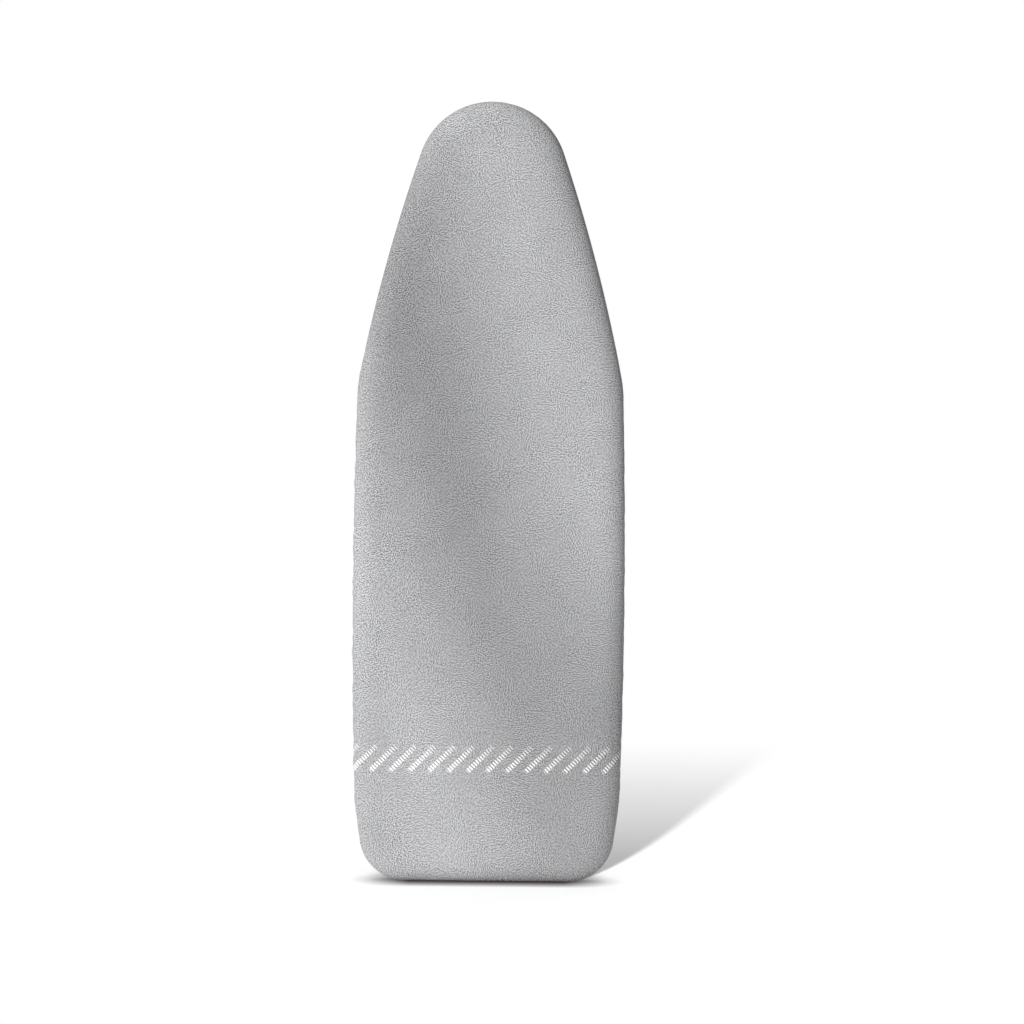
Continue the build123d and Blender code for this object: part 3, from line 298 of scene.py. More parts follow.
# %% Small unevenness that sewing and use leave in the edge
EDGE_WAVE = 0.00032
WAVE_LEFT, WAVE_LEFT_OVER = 1.2, 0.15  # so much stronger on the left, reached at this distance
WAVE_NOSE, WAVE_NOSE_OVER = 0.95, 0.4  # gone above this height, whole so far below it
WAVE_TAIL, WAVE_TAIL_OVER = 0.02, 0.15  # gone below this height, whole so far above it
PUCKER = 0.0011
PUCKER_MIDDLE, PUCKER_SPREAD, PUCKER_PITCH = 0.016, 0.022, 0.0105


def edge_wave(distance, points):
    """How far the edge stands out: sines of unlike length, stronger on the left, gone at both ends."""
    x, z = points.T
    strength = EDGE_WAVE * (1 + WAVE_LEFT * smooth_step(-x / WAVE_LEFT_OVER))
    strength = strength * smooth_step((WAVE_NOSE - z) / WAVE_NOSE_OVER)
    strength = strength * smooth_step((z - WAVE_TAIL) / WAVE_TAIL_OVER)
    turn = 2 * np.pi * distance / ROUND
    slow = np.sin(43 * turn) * np.sin(9 * turn + 1.1)
    quick = 0.8 * np.sin(131 * turn + 3.0 * np.sin(7 * turn)) * np.sin(17 * turn + 0.4)
    return strength * (slow + quick - 0.35)


def tail_pucker(points):
    """Short wrinkles by the middle of the tail edge: a cosine across the board in a bell of x."""
    x = points[:, 0]
    bell = np.exp(-(((x - PUCKER_MIDDLE) / PUCKER_SPREAD) ** 2)) * (points[:, 1] < 0.001)
    return PUCKER * bell * np.cos(2 * np.pi * x / PUCKER_PITCH + 3 * np.sin(40 * x))


print("edge wave", EDGE_WAVE, "m, pucker", PUCKER, "m")

# %% The cover as one grid
AROUND = 860
FACE_ROWS = 10
SPINE = (0.13, 1.08)  # the face's rows run out from this line up its middle
# where each starts along the section, and how far it takes to grow
WAVE_FROM, WAVE_OVER = 0.006, 0.03
PLEAT_FROM, PLEAT_OVER = 0.062, 0.034
PUCKER_FROM, PUCKER_TO, PUCKER_OVER = 0.012, 0.060, 0.02
FOLD_LOW = 0.15  # how far a fold goes below the cloth, of a pleat's height


def face_rows(point, edge, count):
    """Rows from the spine to an edge, a straight blend of the two, without the edge itself."""
    spine = np.stack([np.zeros(len(point)), np.clip(point[:, 1], *SPINE)], -1)
    blend = np.linspace(0, 1, count, endpoint=False)[:, None, None]
    return spine * (1 - blend) + edge * blend


def cover_grid():
    """Rows over the face, then the section carried round. A pleat lifts the back by its height times its
    wave, growing towards the hem."""
    distance = stations(AROUND)
    point, normal, _ = outline(distance)
    face = face_rows(point, point - ROLL_IN * normal, FACE_ROWS)
    face_depth = np.full(face.shape[:2], FRONT)
    grow = smooth_step((section_length - WAVE_FROM) / WAVE_OVER)[:, None] * edge_wave(distance, point)
    inset = section_inset[:, None] - grow
    rolled = point - inset[..., None] * normal
    height, crest = pleats(distance)
    behind = smooth_step((section_length - PLEAT_FROM) / PLEAT_OVER)[:, None]
    depth = section_depth[:, None] + behind * (height * (crest - FOLD_LOW))
    fold = smooth_step((section_length - PUCKER_FROM) / PUCKER_OVER)
    fold = fold * smooth_step((PUCKER_TO - section_length) / PUCKER_OVER)
    rolled = rolled - (fold[:, None] * tail_pucker(point))[..., None] * normal
    depth = depth + 0.5 * fold[:, None] * tail_pucker(point)
    flat = np.concatenate([face, point + (section_length[:, None, None] - ROLL_IN) * normal])
    place = np.concatenate([face, rolled])
    place[..., 1] = np.maximum(place[..., 1], 0.0)  # nothing goes below the floor
    return at_depth(place, np.concatenate([face_depth, depth])), flat


grid, flat = cover_grid()
cover = give_wall(skin("fabric_cover", grid, flat), COVER_WALL)
print("cover faces:", len(cover.data.polygons))

# %% [markdown]
# ## The gathered hem
# A tape is folded over the raw edge and sewn, and the elastic runs inside it. Drawn up, such a casing
# puffs between its folds like a scrunched ribbon. So it is a flattened loop carried along the hem, and
# the loop swells on each crest of the pleats. It stops either side of the tail's middle, where the cord
# comes out to be joined.

# %% The hem tape
TAPE_HALF_WIDTH = 0.0055
TAPE_HALF_DEPTH = 0.00325
TAPE_WALL = 0.0007
TAPE_GAP = 0.018  # from the tail's middle to each end of the tape
TAPE_INSET = HEM_INSET + TAPE_HALF_WIDTH
SWELL_WIDE, SWELL_BACK, SWELL_DEEP = 0.1, 0.35, 0.55  # shares of a crest that widen, move and thicken it


def tape(distance, around):
    """A point of the tape's loop: an ellipse with squared-off ends (the fourth root of the sum of
    fourth powers is 1), that grows with the pleat's crest, mostly backwards."""
    point, normal, _ = outline(distance)
    height, crest = pleats(distance)
    swell = height * crest
    c, s = np.cos(around), np.sin(around)
    square = (c**4 + s**4) ** -0.25
    inset = TAPE_INSET - (TAPE_HALF_WIDTH + SWELL_WIDE * swell) * square * c
    depth = HEM_DEPTH + SWELL_BACK * swell + (TAPE_HALF_DEPTH + SWELL_DEEP * swell) * square * s
    return at_depth(point - inset[..., None] * normal, depth)


TAPE_AROUND = 25
tape_distance = np.linspace(HALF_ROUND + TAPE_GAP, HALF_ROUND + ROUND - TAPE_GAP, 1500)
loop = np.linspace(0, 2 * np.pi, TAPE_AROUND)
tape_points = tape(*np.meshgrid(tape_distance, loop))
tape_uv = np.stack(np.meshgrid(tape_distance, loop * 0.005), -1)
hem_tape = give_wall(skin("hem_tape", tape_points, tape_uv), TAPE_WALL)
print("hem tape faces:", len(hem_tape.data.polygons))

# %% [markdown]
# ## Stitches
# Two rows of thread hold the tape. A stitch is a short bar of thread that sinks into the cloth at both
# ends. Each could be an instance, but one mesh with all of them exports simply: a small grid of a few
# faces is worked out once, and repeated by adding the place of each stitch.

# %% A row of stitches along the tape
STITCH_PITCH = 0.0040
STITCH_LONG = 0.0030
THREAD = 0.00038
STITCH_RINGS, RING_POINTS = 5, 7  # rings along a stitch, and points in a ring with the first one twice
STITCH_TURN = 0.62  # where a row lies on the tape's loop


def stitch_row(around, name):
    """Bars of thread: along each stitch the radius is THREAD times the fourth root of (1 - t to the
    fourth), and six points go round. The row follows the tape at one place on its loop."""
    count = int((ROUND - 2 * TAPE_GAP) / STITCH_PITCH)
    middle = HALF_ROUND + TAPE_GAP + STITCH_PITCH * (np.arange(count) + 0.5)
    t = np.linspace(-1, 1, STITCH_RINGS)
    distance = middle[:, None] + t * STITCH_LONG / 2
    centre = tape(distance, np.full_like(distance, around))
    ahead = tape(distance + 1e-4, np.full_like(distance, around)) - centre
    ahead /= np.linalg.norm(ahead, axis=-1, keepdims=True)
    up = tape(distance, np.full_like(distance, around + 0.02)) - centre
    out = np.cross(ahead, up)
    out /= np.linalg.norm(out, axis=-1, keepdims=True)
    up = np.cross(out, ahead)
    turn = np.linspace(0, 2 * np.pi, RING_POINTS)
    radius = THREAD * (1.0001 - t**4) ** 0.25
    ring = np.cos(turn)[:, None] * out[..., None, :] + np.sin(turn)[:, None] * up[..., None, :]
    points = centre[..., None, :] + radius[:, None, None] * ring
    corner = (np.arange(STITCH_RINGS - 1)[:, None] * RING_POINTS + np.arange(RING_POINTS - 1)).ravel()
    faces = np.stack([corner, corner + 1, corner + RING_POINTS + 1, corner + RING_POINTS], -1)
    first = np.arange(count) * STITCH_RINGS * RING_POINTS
    all_faces = (faces[None] + first[:, None, None]).reshape(-1, 4)
    return piece_of(name, points.reshape(-1, 3), all_faces)


outer_stitches = stitch_row(STITCH_TURN, "hem_stitches_outer")
inner_stitches = stitch_row(np.pi - STITCH_TURN, "hem_stitches_inner")
stitch_faces = (STITCH_RINGS - 1) * (RING_POINTS - 1)
print("stitches:", len(outer_stitches.data.polygons) // stitch_faces, "in each row")

# %% [markdown]
# ## The felt under the cover
# The pad is needled felt, cut a little smaller than the board. Under the tight cover its edge is pressed
# into the same soft roll. It is a closed shape, with the cover's own roll, a little smaller, on its
# front and a flat back that lies on the steel mesh.

# %% The felt
FELT_CLEAR = 0.0021  # from the cover's outside to the felt
FELT_INSET = 0.0085
FELT_ROWS = 6  # over its face, and as many over its back
FELT_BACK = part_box("felt_pad")[1].y


def felt_grid():
    """Rows from the spine over the roll to the edge, round it, and back in behind to the spine."""
    distance = stations(600)
    point, normal, _ = outline(distance)
    turn = np.arcsin(1 - np.linspace(ROLL_IN, FELT_INSET, 12) / ROLL_IN)
    inset, depth = roll(turn)
    front = np.stack([inset, np.minimum(depth + FELT_CLEAR, FELT_BACK - 0.0006)], -1)
    edge = np.array([[FELT_INSET, FELT_BACK - 0.0003], [FELT_INSET + 0.0004, FELT_BACK]])
    back = np.array([[FELT_INSET + 0.004, FELT_BACK], [ROLL_IN, FELT_BACK]])
    section = np.concatenate([front, edge, back])
    rim = point - section[:, 0, None, None] * normal
    face, behind = face_rows(point, rim[0], FELT_ROWS), face_rows(point, rim[-1], FELT_ROWS)[::-1]
    depth = np.concatenate([np.full(FELT_ROWS, section[0, 1]), section[:, 1], np.full(FELT_ROWS, FELT_BACK)])
    return at_depth(np.concatenate([face, rim, behind]), depth[:, None])


felt = skin("felt_underlay", felt_grid())
print("felt faces:", len(felt.data.polygons))

# %% [markdown]
# ## The steam mesh
# The top of the board is expanded steel: a sheet slit in rows and pulled open, so that steam passes. Its
# strands join at knuckles and stand a little skew. A diamond opening and the frame round it are one
# cell of twelve four-sided faces; the cells are laid in staggered rows over the whole board, and those
# that would pass the rim are left out. A narrow plain margin, pressed flat under the rim, closes it.

# %% The expanded mesh
DIAMOND_TALL, DIAMOND_WIDE = 0.018, 0.009
STRAND = 0.0011  # width of a strand
SHEET_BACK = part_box("mesh_plate")[1].y
SHEET_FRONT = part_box("mesh_plate")[0].y
SKEW = 0.00018
MESH_MARGIN = 0.013
MARGIN_EDGE, MARGIN_LAP = 0.0055, 0.012  # the plain margin's edge, and how far it laps the openings
SHEET_THIN = 0.00015  # the strands lie this much inside the sheet's two faces
KNUCKLE = 1.6  # the strands are this much longer where they join, along the board


def inside_by(points, margin, samples=720):
    """True where a point is inside the outline by more than margin: the convex outline's support
    lines are all further than margin away."""
    edge, normal, _ = outline(np.linspace(0, ROUND, samples, endpoint=False))
    reach = np.full(len(points), np.inf)
    for k in range(0, samples, 90):  # a few lines at a time keeps the arrays small
        gap = (edge[k : k + 90] * normal[k : k + 90]).sum(-1) - points @ normal[k : k + 90].T
        reach = np.minimum(reach, gap.min(1))
    return reach > margin


def mesh_cells():
    """Outer corners of each cell are shared with its neighbours; inner corners are the opening, smaller
    by the strand. Upper edges lean forwards and lower ones back by the skew."""
    columns = np.arange(-26, 27)
    rows = np.arange(1, 140)
    row, column = [a.ravel() for a in np.meshgrid(rows, columns, indexing="ij")]
    middle = np.stack([(column + 0.5 * (row % 2)) * DIAMOND_WIDE, row * DIAMOND_TALL / 2], -1)
    middle = middle[inside_by(middle, MESH_MARGIN + DIAMOND_TALL / 2)]
    corners = np.array([[0, 0.5], [0.5, 0], [0, -0.5], [-0.5, 0]]) * [DIAMOND_WIDE, DIAMOND_TALL]
    shrink = 1 - 2 * STRAND / np.array([DIAMOND_WIDE, DIAMOND_TALL]) * [1, KNUCKLE]
    opening = corners * shrink
    lean = np.array([-SKEW, 0, SKEW, 0])
    layers = []
    for shape, depth, skew in (
        (corners, SHEET_FRONT + SHEET_THIN, 0),
        (opening, SHEET_FRONT + SHEET_THIN, 0.5),
        (opening, SHEET_BACK - SHEET_THIN, 1),
        (corners, SHEET_BACK - SHEET_THIN, 0),
    ):
        layers.append(at_depth(middle[:, None] + shape, depth + skew * lean))
    points = np.stack(layers, 1)  # cell, layer, corner, xyz
    corner = np.arange(4)
    following = (corner + 1) % 4
    quads = np.concatenate(
        [
            np.stack([a + corner, a + following, b + following, b + corner], -1)
            for a, b in ((0, 4), (4, 8), (8, 12))
        ]
    )
    faces = (quads[None] + (np.arange(len(middle)) * 16)[:, None, None]).reshape(-1, 4)
    return points.reshape(-1, 3), faces, len(middle)


points, faces, cells = mesh_cells()
steam_mesh = piece_of("steam_mesh", points, faces)
steam_mesh.data.polygons.foreach_set("use_smooth", np.zeros(len(steam_mesh.data.polygons), bool))
print("openings in the mesh:", cells, "faces:", len(steam_mesh.data.polygons))

# %% Its plain margin
def margin_grid():
    """A flat band between two insets with the thickness of the sheet, carried round the outline."""
    point, normal, _ = outline(stations(520))
    near, far = MARGIN_EDGE, MESH_MARGIN + MARGIN_LAP
    inset = np.array([near, near, far, far, near])
    depth = np.array([SHEET_BACK, SHEET_FRONT, SHEET_FRONT, SHEET_BACK, SHEET_BACK])
    return at_depth(point - inset[:, None, None] * normal, depth[:, None])


mesh_margin = skin("steam_mesh_margin", margin_grid()[::-1])
print("margin faces:", len(mesh_margin.data.polygons))

# %% [markdown]
# ## Welds
# The leg tubes are shaped to their foot bars and welded all round. A weld is a rounded bead with fine
# ripples, lying where two tubes meet: a circle carried along the curve where one cylinder cuts the
# other. That curve has a formula, so no drawing by hand is needed.

# %% Beads where tubes meet
BEAD = 0.0017
RIPPLES = 44


def bead(angle, centre, outward, along):
    """A ring round each point of a closed path: centre plus the bead's radius times (cos t outward
    plus sin t along), with the radius rippling a little along the path."""
    t = np.linspace(0, 2 * np.pi, 11)
    radius = BEAD * (1 + 0.09 * np.cos(RIPPLES * angle))
    turn = np.cos(t)[:, None, None] * outward + np.sin(t)[:, None, None] * along
    return centre + radius[:, None] * turn


def where_tubes_meet(upright, level, upright_ends, way):
    """A bead on the wall of the tube that ends, where it meets the surface of the one that runs on: along
    its own axis, at the root of the other's radius squared less the sideways distance squared."""
    (low, high), (level_low, level_high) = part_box(upright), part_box(level)
    middle = np.array([(low.x + high.x) / 2, (low.y + high.y) / 2, (level_low.z + level_high.z) / 2])
    own, other = (high.x - low.x) / 2, (level_high.z - level_low.z) / 2
    angle = np.linspace(0, 2 * np.pi, 353)
    axis, out = np.array([0, 0, 1.0]), np.stack([np.cos(angle), np.sin(angle), 0 * angle], -1)
    if not upright_ends:
        own, other, axis, out = other, own, axis[::-1], out[:, ::-1]
    reach = way * np.sqrt(other**2 - (own * out[:, 1]) ** 2)
    centre = middle + own * out + reach[:, None] * axis
    return bead(angle, centre, out, np.broadcast_to(way * axis, out.shape))


def weld_piece(name, grid):
    """The bead as a piece, turned outwards if the grid came out facing inwards."""
    made = skin(name, grid)
    work = bmesh.new()
    work.from_mesh(made.data)
    if work.calc_volume(signed=True) < 0:
        bmesh.ops.reverse_faces(work, faces=work.faces)
        work.to_mesh(made.data)
    work.free()
    return made


welds = {"outer_leg": [], "inner_leg": []}
for side, name in ((-1, "left"), (1, "right")):
    for body, weld, level, upright_ends, way in (
        ("outer_leg", "tail_foot_weld", "tail_foot_bar", True, 1),
        ("inner_leg", "nose_foot_weld", "nose_foot_bar", True, -1),
        ("inner_leg", "brace_weld", "inner_brace", False, -side),
    ):
        ring = where_tubes_meet(f"{body}_tube_{name}", level, upright_ends, way)
        welds[body].append(weld_piece(f"{weld}_{name}", ring))
print("welds:", {body: len(made) for body, made in welds.items()})

# %% [markdown]
# ## Building a finish
# A finish is a small tree of nodes that ends in one shader. Three short helpers keep each tree readable:
# one starts it, one adds a node with its settings and inputs, one does arithmetic. Values that are the
# same all over a part are typed into the shader itself, and only what varies is linked.

# %% Helpers for node trees
def new_finish(name, **values):
    """A material with its shader's plain values set; returns the material, its tree and shader."""
    material = bpy.data.materials.new(name)
    material.use_nodes = True
    shader = material.node_tree.nodes["Principled BSDF"]
    for socket, value in values.items():
        shader.inputs[socket.replace("_", " ")].default_value = value
    return material, material.node_tree, shader


def node(tree, kind, inputs=None, **settings):
    """Adds a node. inputs maps a socket's name or number to a value or to another node's output."""
    made = tree.nodes.new("ShaderNode" + kind)
    for name, value in settings.items():
        setattr(made, name, value)
    for key, value in (inputs or {}).items():
        if isinstance(value, bpy.types.NodeSocket):
            tree.links.new(value, made.inputs[key])
        else:
            made.inputs[key].default_value = value
    return made


def maths(tree, operation, a, b=0.0, c=0.0):
    """One arithmetic node; returns its output."""
    return node(tree, "Math", {0: a, 1: b, 2: c}, operation=operation).outputs[0]


def noise(tree, where, scale, detail=2.0, roughness=0.5):
    """Noise between 0 and 1 with so many cells in a metre."""
    inputs = {"Vector": where, "Scale": scale, "Detail": detail, "Roughness": roughness}
    return node(tree, "TexNoise", inputs).outputs["Fac"]


def ramp(tree, value, low, high, start=0.0, end=1.0, **settings):
    """A number that goes from start to end as the value goes from low to high."""
    return node(tree, "MapRange", {0: value, 1: low, 2: high, 3: start, 4: end}, **settings).outputs[0]


def between(tree, factor, dark, light, low=0.25, high=0.75):
    """A colour that goes from dark to light as the factor goes from low to high."""
    inputs = {0: ramp(tree, factor, low, high), 6: (*dark, 1), 7: (*light, 1)}
    return node(tree, "Mix", inputs, data_type="RGBA").outputs[2]


def paint(tree, shader, *colours):
    """The shader's colour, between two others as above."""
    tree.links.new(between(tree, *colours), shader.inputs["Base Color"])


def bump(tree, shader, height, distance, strength=1.0):
    """Raises the surface by distance times height, for the light only."""
    made = node(tree, "Bump", {"Height": height, "Distance": distance, "Strength": strength})
    tree.links.new(made.outputs[0], shader.inputs["Normal"])


def in_place(tree):
    """Object coordinates, in metres."""
    return node(tree, "TexCoord").outputs["Object"]


def on_cloth(tree):
    """The flat cut's coordinates, in metres."""
    return node(tree, "UVMap", uv_map="flat").outputs[0]


print("finish helpers ready")

# %% [markdown]
# ## Cover cloth
# The cloth is a heathered grey: fibres of dark, middle and light grey are mixed before they are spun, so
# the surface is a fine speckle with no direction, over a plain weave that shows only from close by. Near
# the tail a row of slanted white bars is printed, each a ladder of short ticks that grows heavier
# towards one end. An image could carry the print; a formula in the cloth's own coordinates stays sharp
# at any distance.

# %% The printed bars
BAR_HEIGHT = 0.1925  # of the row's middle above the tail
BAR_PITCH = 0.0298
BAR_SHIFT = -0.0112  # of the bar by the middle
BAR_HALF_LONG = 0.0275
BAR_HALF_WIDE = 0.0038
TICK = 0.0046
TICK_WEIGHT, WEIGHT_CHANGE = 0.36, 0.17  # inked share of a tick in the middle; less and more at the ends


def printed_bars(tree, where):
    """1 on the ink. u is measured from BAR_SHIFT and v from BAR_HEIGHT. In a frame turned by half a right
    angle, along = (u + v - c) / root 2 and across = (u - v - c) / root 2 from the middle c of the nearest
    bar. Ink lies where both are within the bar, and where the fraction of along / tick is below a weight
    that grows towards the lower end."""
    parts = node(tree, "SeparateXYZ", {0: where}).outputs
    up = maths(tree, "SUBTRACT", parts[1], BAR_HEIGHT)
    beside = maths(tree, "SUBTRACT", parts[0], BAR_SHIFT)
    slant = maths(tree, "SUBTRACT", beside, up)
    middle = maths(tree, "MULTIPLY", maths(tree, "ROUND", maths(tree, "DIVIDE", slant, BAR_PITCH)), BAR_PITCH)
    root = math.sqrt(2)
    across = maths(tree, "DIVIDE", maths(tree, "SUBTRACT", slant, middle), root)
    along = maths(tree, "DIVIDE", maths(tree, "SUBTRACT", maths(tree, "ADD", beside, up), middle), root)
    weight = maths(tree, "MULTIPLY_ADD", along, -WEIGHT_CHANGE / BAR_HALF_LONG, TICK_WEIGHT)
    tick = maths(tree, "FRACT", maths(tree, "DIVIDE", maths(tree, "ADD", along, 1.0), TICK))
    inked = maths(tree, "LESS_THAN", tick, weight)
    in_width = maths(tree, "LESS_THAN", maths(tree, "ABSOLUTE", across), BAR_HALF_WIDE)
    in_length = maths(tree, "LESS_THAN", maths(tree, "ABSOLUTE", along), BAR_HALF_LONG)
    return maths(tree, "MULTIPLY", inked, maths(tree, "MULTIPLY", in_width, in_length))


print("bars across the board:", int(2 * 0.205 / BAR_PITCH))

# %% The cloth
HEATHER_DARK, HEATHER_LIGHT = (0.060, 0.061, 0.064), (0.600, 0.602, 0.612)
INK = (0.90, 0.90, 0.90)
WEAVE = 0.0007  # one thread and its gap
FIBRES, TUFTS, BLOTCHES = 640.0, 1300.0, 14.0  # cells in a metre
TUFT_SHARE, FIBRE_SHARE, BLOTCH_SHARE = 0.14, 0.3, 0.04
SPECKLE_LEVEL = -0.22  # brings the sum of the shares back to the middle
SPECKLE_FROM, SPECKLE_TO = 0.35, 0.65


def weave_height(tree, where, pitch):
    """A plain weave: sine across times sine along, each with one thread's length."""
    parts = node(tree, "SeparateXYZ", {0: where}).outputs
    turns = 2 * math.pi / pitch
    sines = [maths(tree, "SINE", maths(tree, "MULTIPLY", parts[k], turns)) for k in (0, 1)]
    return maths(tree, "MULTIPLY", *sines)


def cover_cloth():
    """Speckle of two noises, 1.6 mm and 0.8 mm, and of tufts each of its own grey, with the ink over it.
    The fine noise thins the ink in places."""
    material, tree, shader = new_finish(
        "heathered_cloth", Roughness=0.88, Sheen_Weight=0.12, Sheen_Roughness=0.45, Specular_IOR_Level=0.25
    )
    where = on_cloth(tree)
    coarse = noise(tree, where, FIBRES, 1.0, 0.5)
    cell = node(tree, "TexVoronoi", {"Vector": where, "Scale": TUFTS}, feature="F1").outputs["Color"]
    tuft = node(tree, "SeparateColor", {0: cell}).outputs[0]
    fine_fibre = noise(tree, where, TUFTS, 2.0, 0.6)
    blotch = noise(tree, where, BLOTCHES, 3.0)
    level = maths(tree, "MULTIPLY_ADD", coarse, 1.0, SPECKLE_LEVEL)
    speckle = maths(tree, "MULTIPLY_ADD", tuft, TUFT_SHARE, level)
    speckle = maths(tree, "MULTIPLY_ADD", fine_fibre, FIBRE_SHARE, speckle)
    cloudy = maths(tree, "MULTIPLY_ADD", blotch, BLOTCH_SHARE, -BLOTCH_SHARE / 2)
    speckle = maths(tree, "ADD", speckle, cloudy)
    colour = between(tree, speckle, HEATHER_DARK, HEATHER_LIGHT, SPECKLE_FROM, SPECKLE_TO)
    ink = printed_bars(tree, where)
    faded = maths(tree, "MULTIPLY", ink, ramp(tree, fine_fibre, 0.2, 0.5, 0.75, 1.0))
    mixed = node(tree, "Mix", {0: faded, 6: colour, 7: (*INK, 1)}, data_type="RGBA")
    tree.links.new(mixed.outputs[2], shader.inputs["Base Color"])
    height = maths(tree, "MULTIPLY_ADD", weave_height(tree, where, WEAVE), 0.5, fine_fibre)
    bump(tree, shader, height, 0.00016, 0.6)
    return material


finishes = {"cover_fabric": cover_cloth()}
print("made:", list(finishes))

# %% [markdown]
# ## Felt, tape, thread and elastic
# Felt is loose fibre: long soft noise with a little sheen. Tape is a ribbed weave, so its ribs run across
# its length; it reads the tape's own coordinates. Thread and elastic are smooth twisted yarns, where a
# slanting wave stands for the twist.

# %% Soft finishes
def felt_fibre():
    """Cream fibres: noise stretched along X and along Z, laid over each other."""
    material, tree, shader = new_finish(
        "needled_felt", Roughness=0.95, Sheen_Weight=0.35, Sheen_Roughness=0.5
    )
    where = in_place(tree)
    flat_way = node(tree, "Mapping", {0: where, 3: (1, 1, 0.2)}).outputs[0]
    up_way = node(tree, "Mapping", {0: where, 3: (0.2, 1, 1)}).outputs[0]
    fibre = maths(tree, "MAXIMUM", noise(tree, flat_way, 900, 3), noise(tree, up_way, 900, 3))
    paint(tree, shader, fibre, (0.60, 0.58, 0.53), (0.80, 0.79, 0.75), 0.4, 0.8)
    bump(tree, shader, fibre, 0.0005, 0.7)
    return material


def ribbed_tape():
    """Dark grey tape with a rib each 0.9 mm along it."""
    material, tree, shader = new_finish(
        "ribbed_tape", Roughness=0.82, Sheen_Weight=0.15, Specular_IOR_Level=0.3
    )
    where = on_cloth(tree)
    along = node(tree, "SeparateXYZ", {0: where}).outputs[0]
    rib = maths(tree, "SINE", maths(tree, "MULTIPLY", along, 2 * math.pi / 0.0009))
    fibre = noise(tree, where, 1500.0)
    tone = maths(tree, "MULTIPLY_ADD", rib, 0.12, fibre)
    paint(tree, shader, tone, (0.105, 0.108, 0.112), (0.205, 0.210, 0.216))
    bump(tree, shader, tone, 0.00025, 0.8)
    return material


def twisted_yarn(name, dark, light, pitch):
    """Yarn: a sine of the sum of the three coordinates makes slanting plies."""
    material, tree, shader = new_finish(name, Roughness=0.6, Sheen_Weight=0.2)
    where = in_place(tree)
    parts = node(tree, "SeparateXYZ", {0: where}).outputs
    total = maths(tree, "ADD", maths(tree, "ADD", parts[0], parts[1]), parts[2])
    ply = maths(tree, "SINE", maths(tree, "MULTIPLY", total, 2 * math.pi / pitch))
    share = maths(tree, "MULTIPLY_ADD", ply, 0.25, 0.5)
    paint(tree, shader, share, dark, light)
    bump(tree, shader, share, 0.0003, 0.6)
    return material


finishes["felt"] = felt_fibre()
finishes["binding_tape"] = ribbed_tape()
finishes["elastic_cord"] = twisted_yarn("elastic_braid", (0.55, 0.55, 0.54), (0.80, 0.80, 0.79), 0.0016)
sewing_thread = twisted_yarn("sewing_thread", (0.42, 0.42, 0.43), (0.62, 0.62, 0.63), 0.0008)
print("made:", list(finishes))

# %% [markdown]
# ## Metal, paint, plastic and rubber
# Powder coat is slightly wavy like orange peel, with faint specks. Zinc is a soft bluish grey with
# spangle and rub marks, which show as streaks in its roughness. Moulded plastic has a fine spark
# texture, and rubber is nearly black with pale dust. One recipe covers them all: two noises move colour
# and roughness a little, and a third makes the relief.

# %% The recipe for hard parts
def hard_finish(name, dark, light, rough, grain, relief, stretch=(1, 1, 1), **values):
    """Colour moves between dark and light with a slow noise and specks; roughness between the two values
    of rough with a finer noise stretched along one axis; relief is (cells in a metre, height)."""
    material, tree, shader = new_finish(name, **values)
    where = in_place(tree)
    slow = noise(tree, where, grain, 4, 0.6)
    specks = noise(tree, where, grain * 23, 1)
    tone = maths(tree, "MULTIPLY_ADD", specks, 0.35, maths(tree, "MULTIPLY", slow, 0.65))
    paint(tree, shader, tone, dark, light, 0.3, 0.7)
    rubbed = node(tree, "Mapping", {0: where, 3: stretch}).outputs[0]
    share = noise(tree, rubbed, grain * 9, 3)
    tree.links.new(ramp(tree, share, 0.3, 0.7, *rough), shader.inputs["Roughness"])
    bump(tree, shader, noise(tree, where, relief[0], 2), relief[1])
    return material


finishes["painted_steel"] = hard_finish(
    "pale_powder_coat", (0.50, 0.51, 0.52), (0.60, 0.61, 0.62), (0.34, 0.48), 30, (420, 0.00012),
    Coat_Weight=0.15,
)
finishes["leg_enamel"] = hard_finish(
    "silver_powder_coat", (0.34, 0.35, 0.365), (0.44, 0.45, 0.465), (0.28, 0.42), 30, (520, 0.00009),
    Metallic=0.35, Coat_Weight=0.2,
)
finishes["zinc_plate"] = hard_finish(
    "bright_zinc", (0.48, 0.49, 0.51), (0.68, 0.69, 0.71), (0.22, 0.42), 120, (900, 0.00003),
    stretch=(0.1, 1, 1), Metallic=1.0,
)
finishes["rivet_aluminium"] = hard_finish(
    "plain_aluminium", (0.62, 0.63, 0.64), (0.76, 0.77, 0.78), (0.30, 0.45), 150, (800, 0.00003), Metallic=1.0
)
finishes["dark_plastic"] = hard_finish(
    "spark_textured_plastic", (0.018, 0.019, 0.020), (0.034, 0.035, 0.037), (0.48, 0.60), 60, (1800, 0.00010)
)
finishes["bearing_plastic"] = hard_finish(
    "natural_acetal", (0.66, 0.66, 0.62), (0.76, 0.76, 0.73), (0.30, 0.40), 60, (700, 0.00002),
    Subsurface_Weight=0.1,
)
finishes["foot_rubber"] = hard_finish(
    "moulded_rubber", (0.012, 0.012, 0.013), (0.030, 0.030, 0.031), (0.62, 0.80), 90, (1200, 0.00012)
)
print("made:", list(finishes))

# %% Give every part its finish
for part in frame["record"]["subparts"]:
    slots = nodes[part["node"]].data.materials
    slots.clear()
    slots.append(finishes[part["material_slot"]])

# %% [markdown]
# ## Putting the new pieces in place
# Each new piece gets its finish and rides with the body it is fixed to, and the frame's parts that it
# stands for are hidden.

# %% Riding and standing in
def fit(piece, body, slot, finish, *stands_for):
    """Colours a piece, hangs it on its body and hides the parts it stands for. The slot is not used."""
    piece.data.materials.append(finish)
    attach(piece, body)
    if stands_for:
        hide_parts(*stands_for)


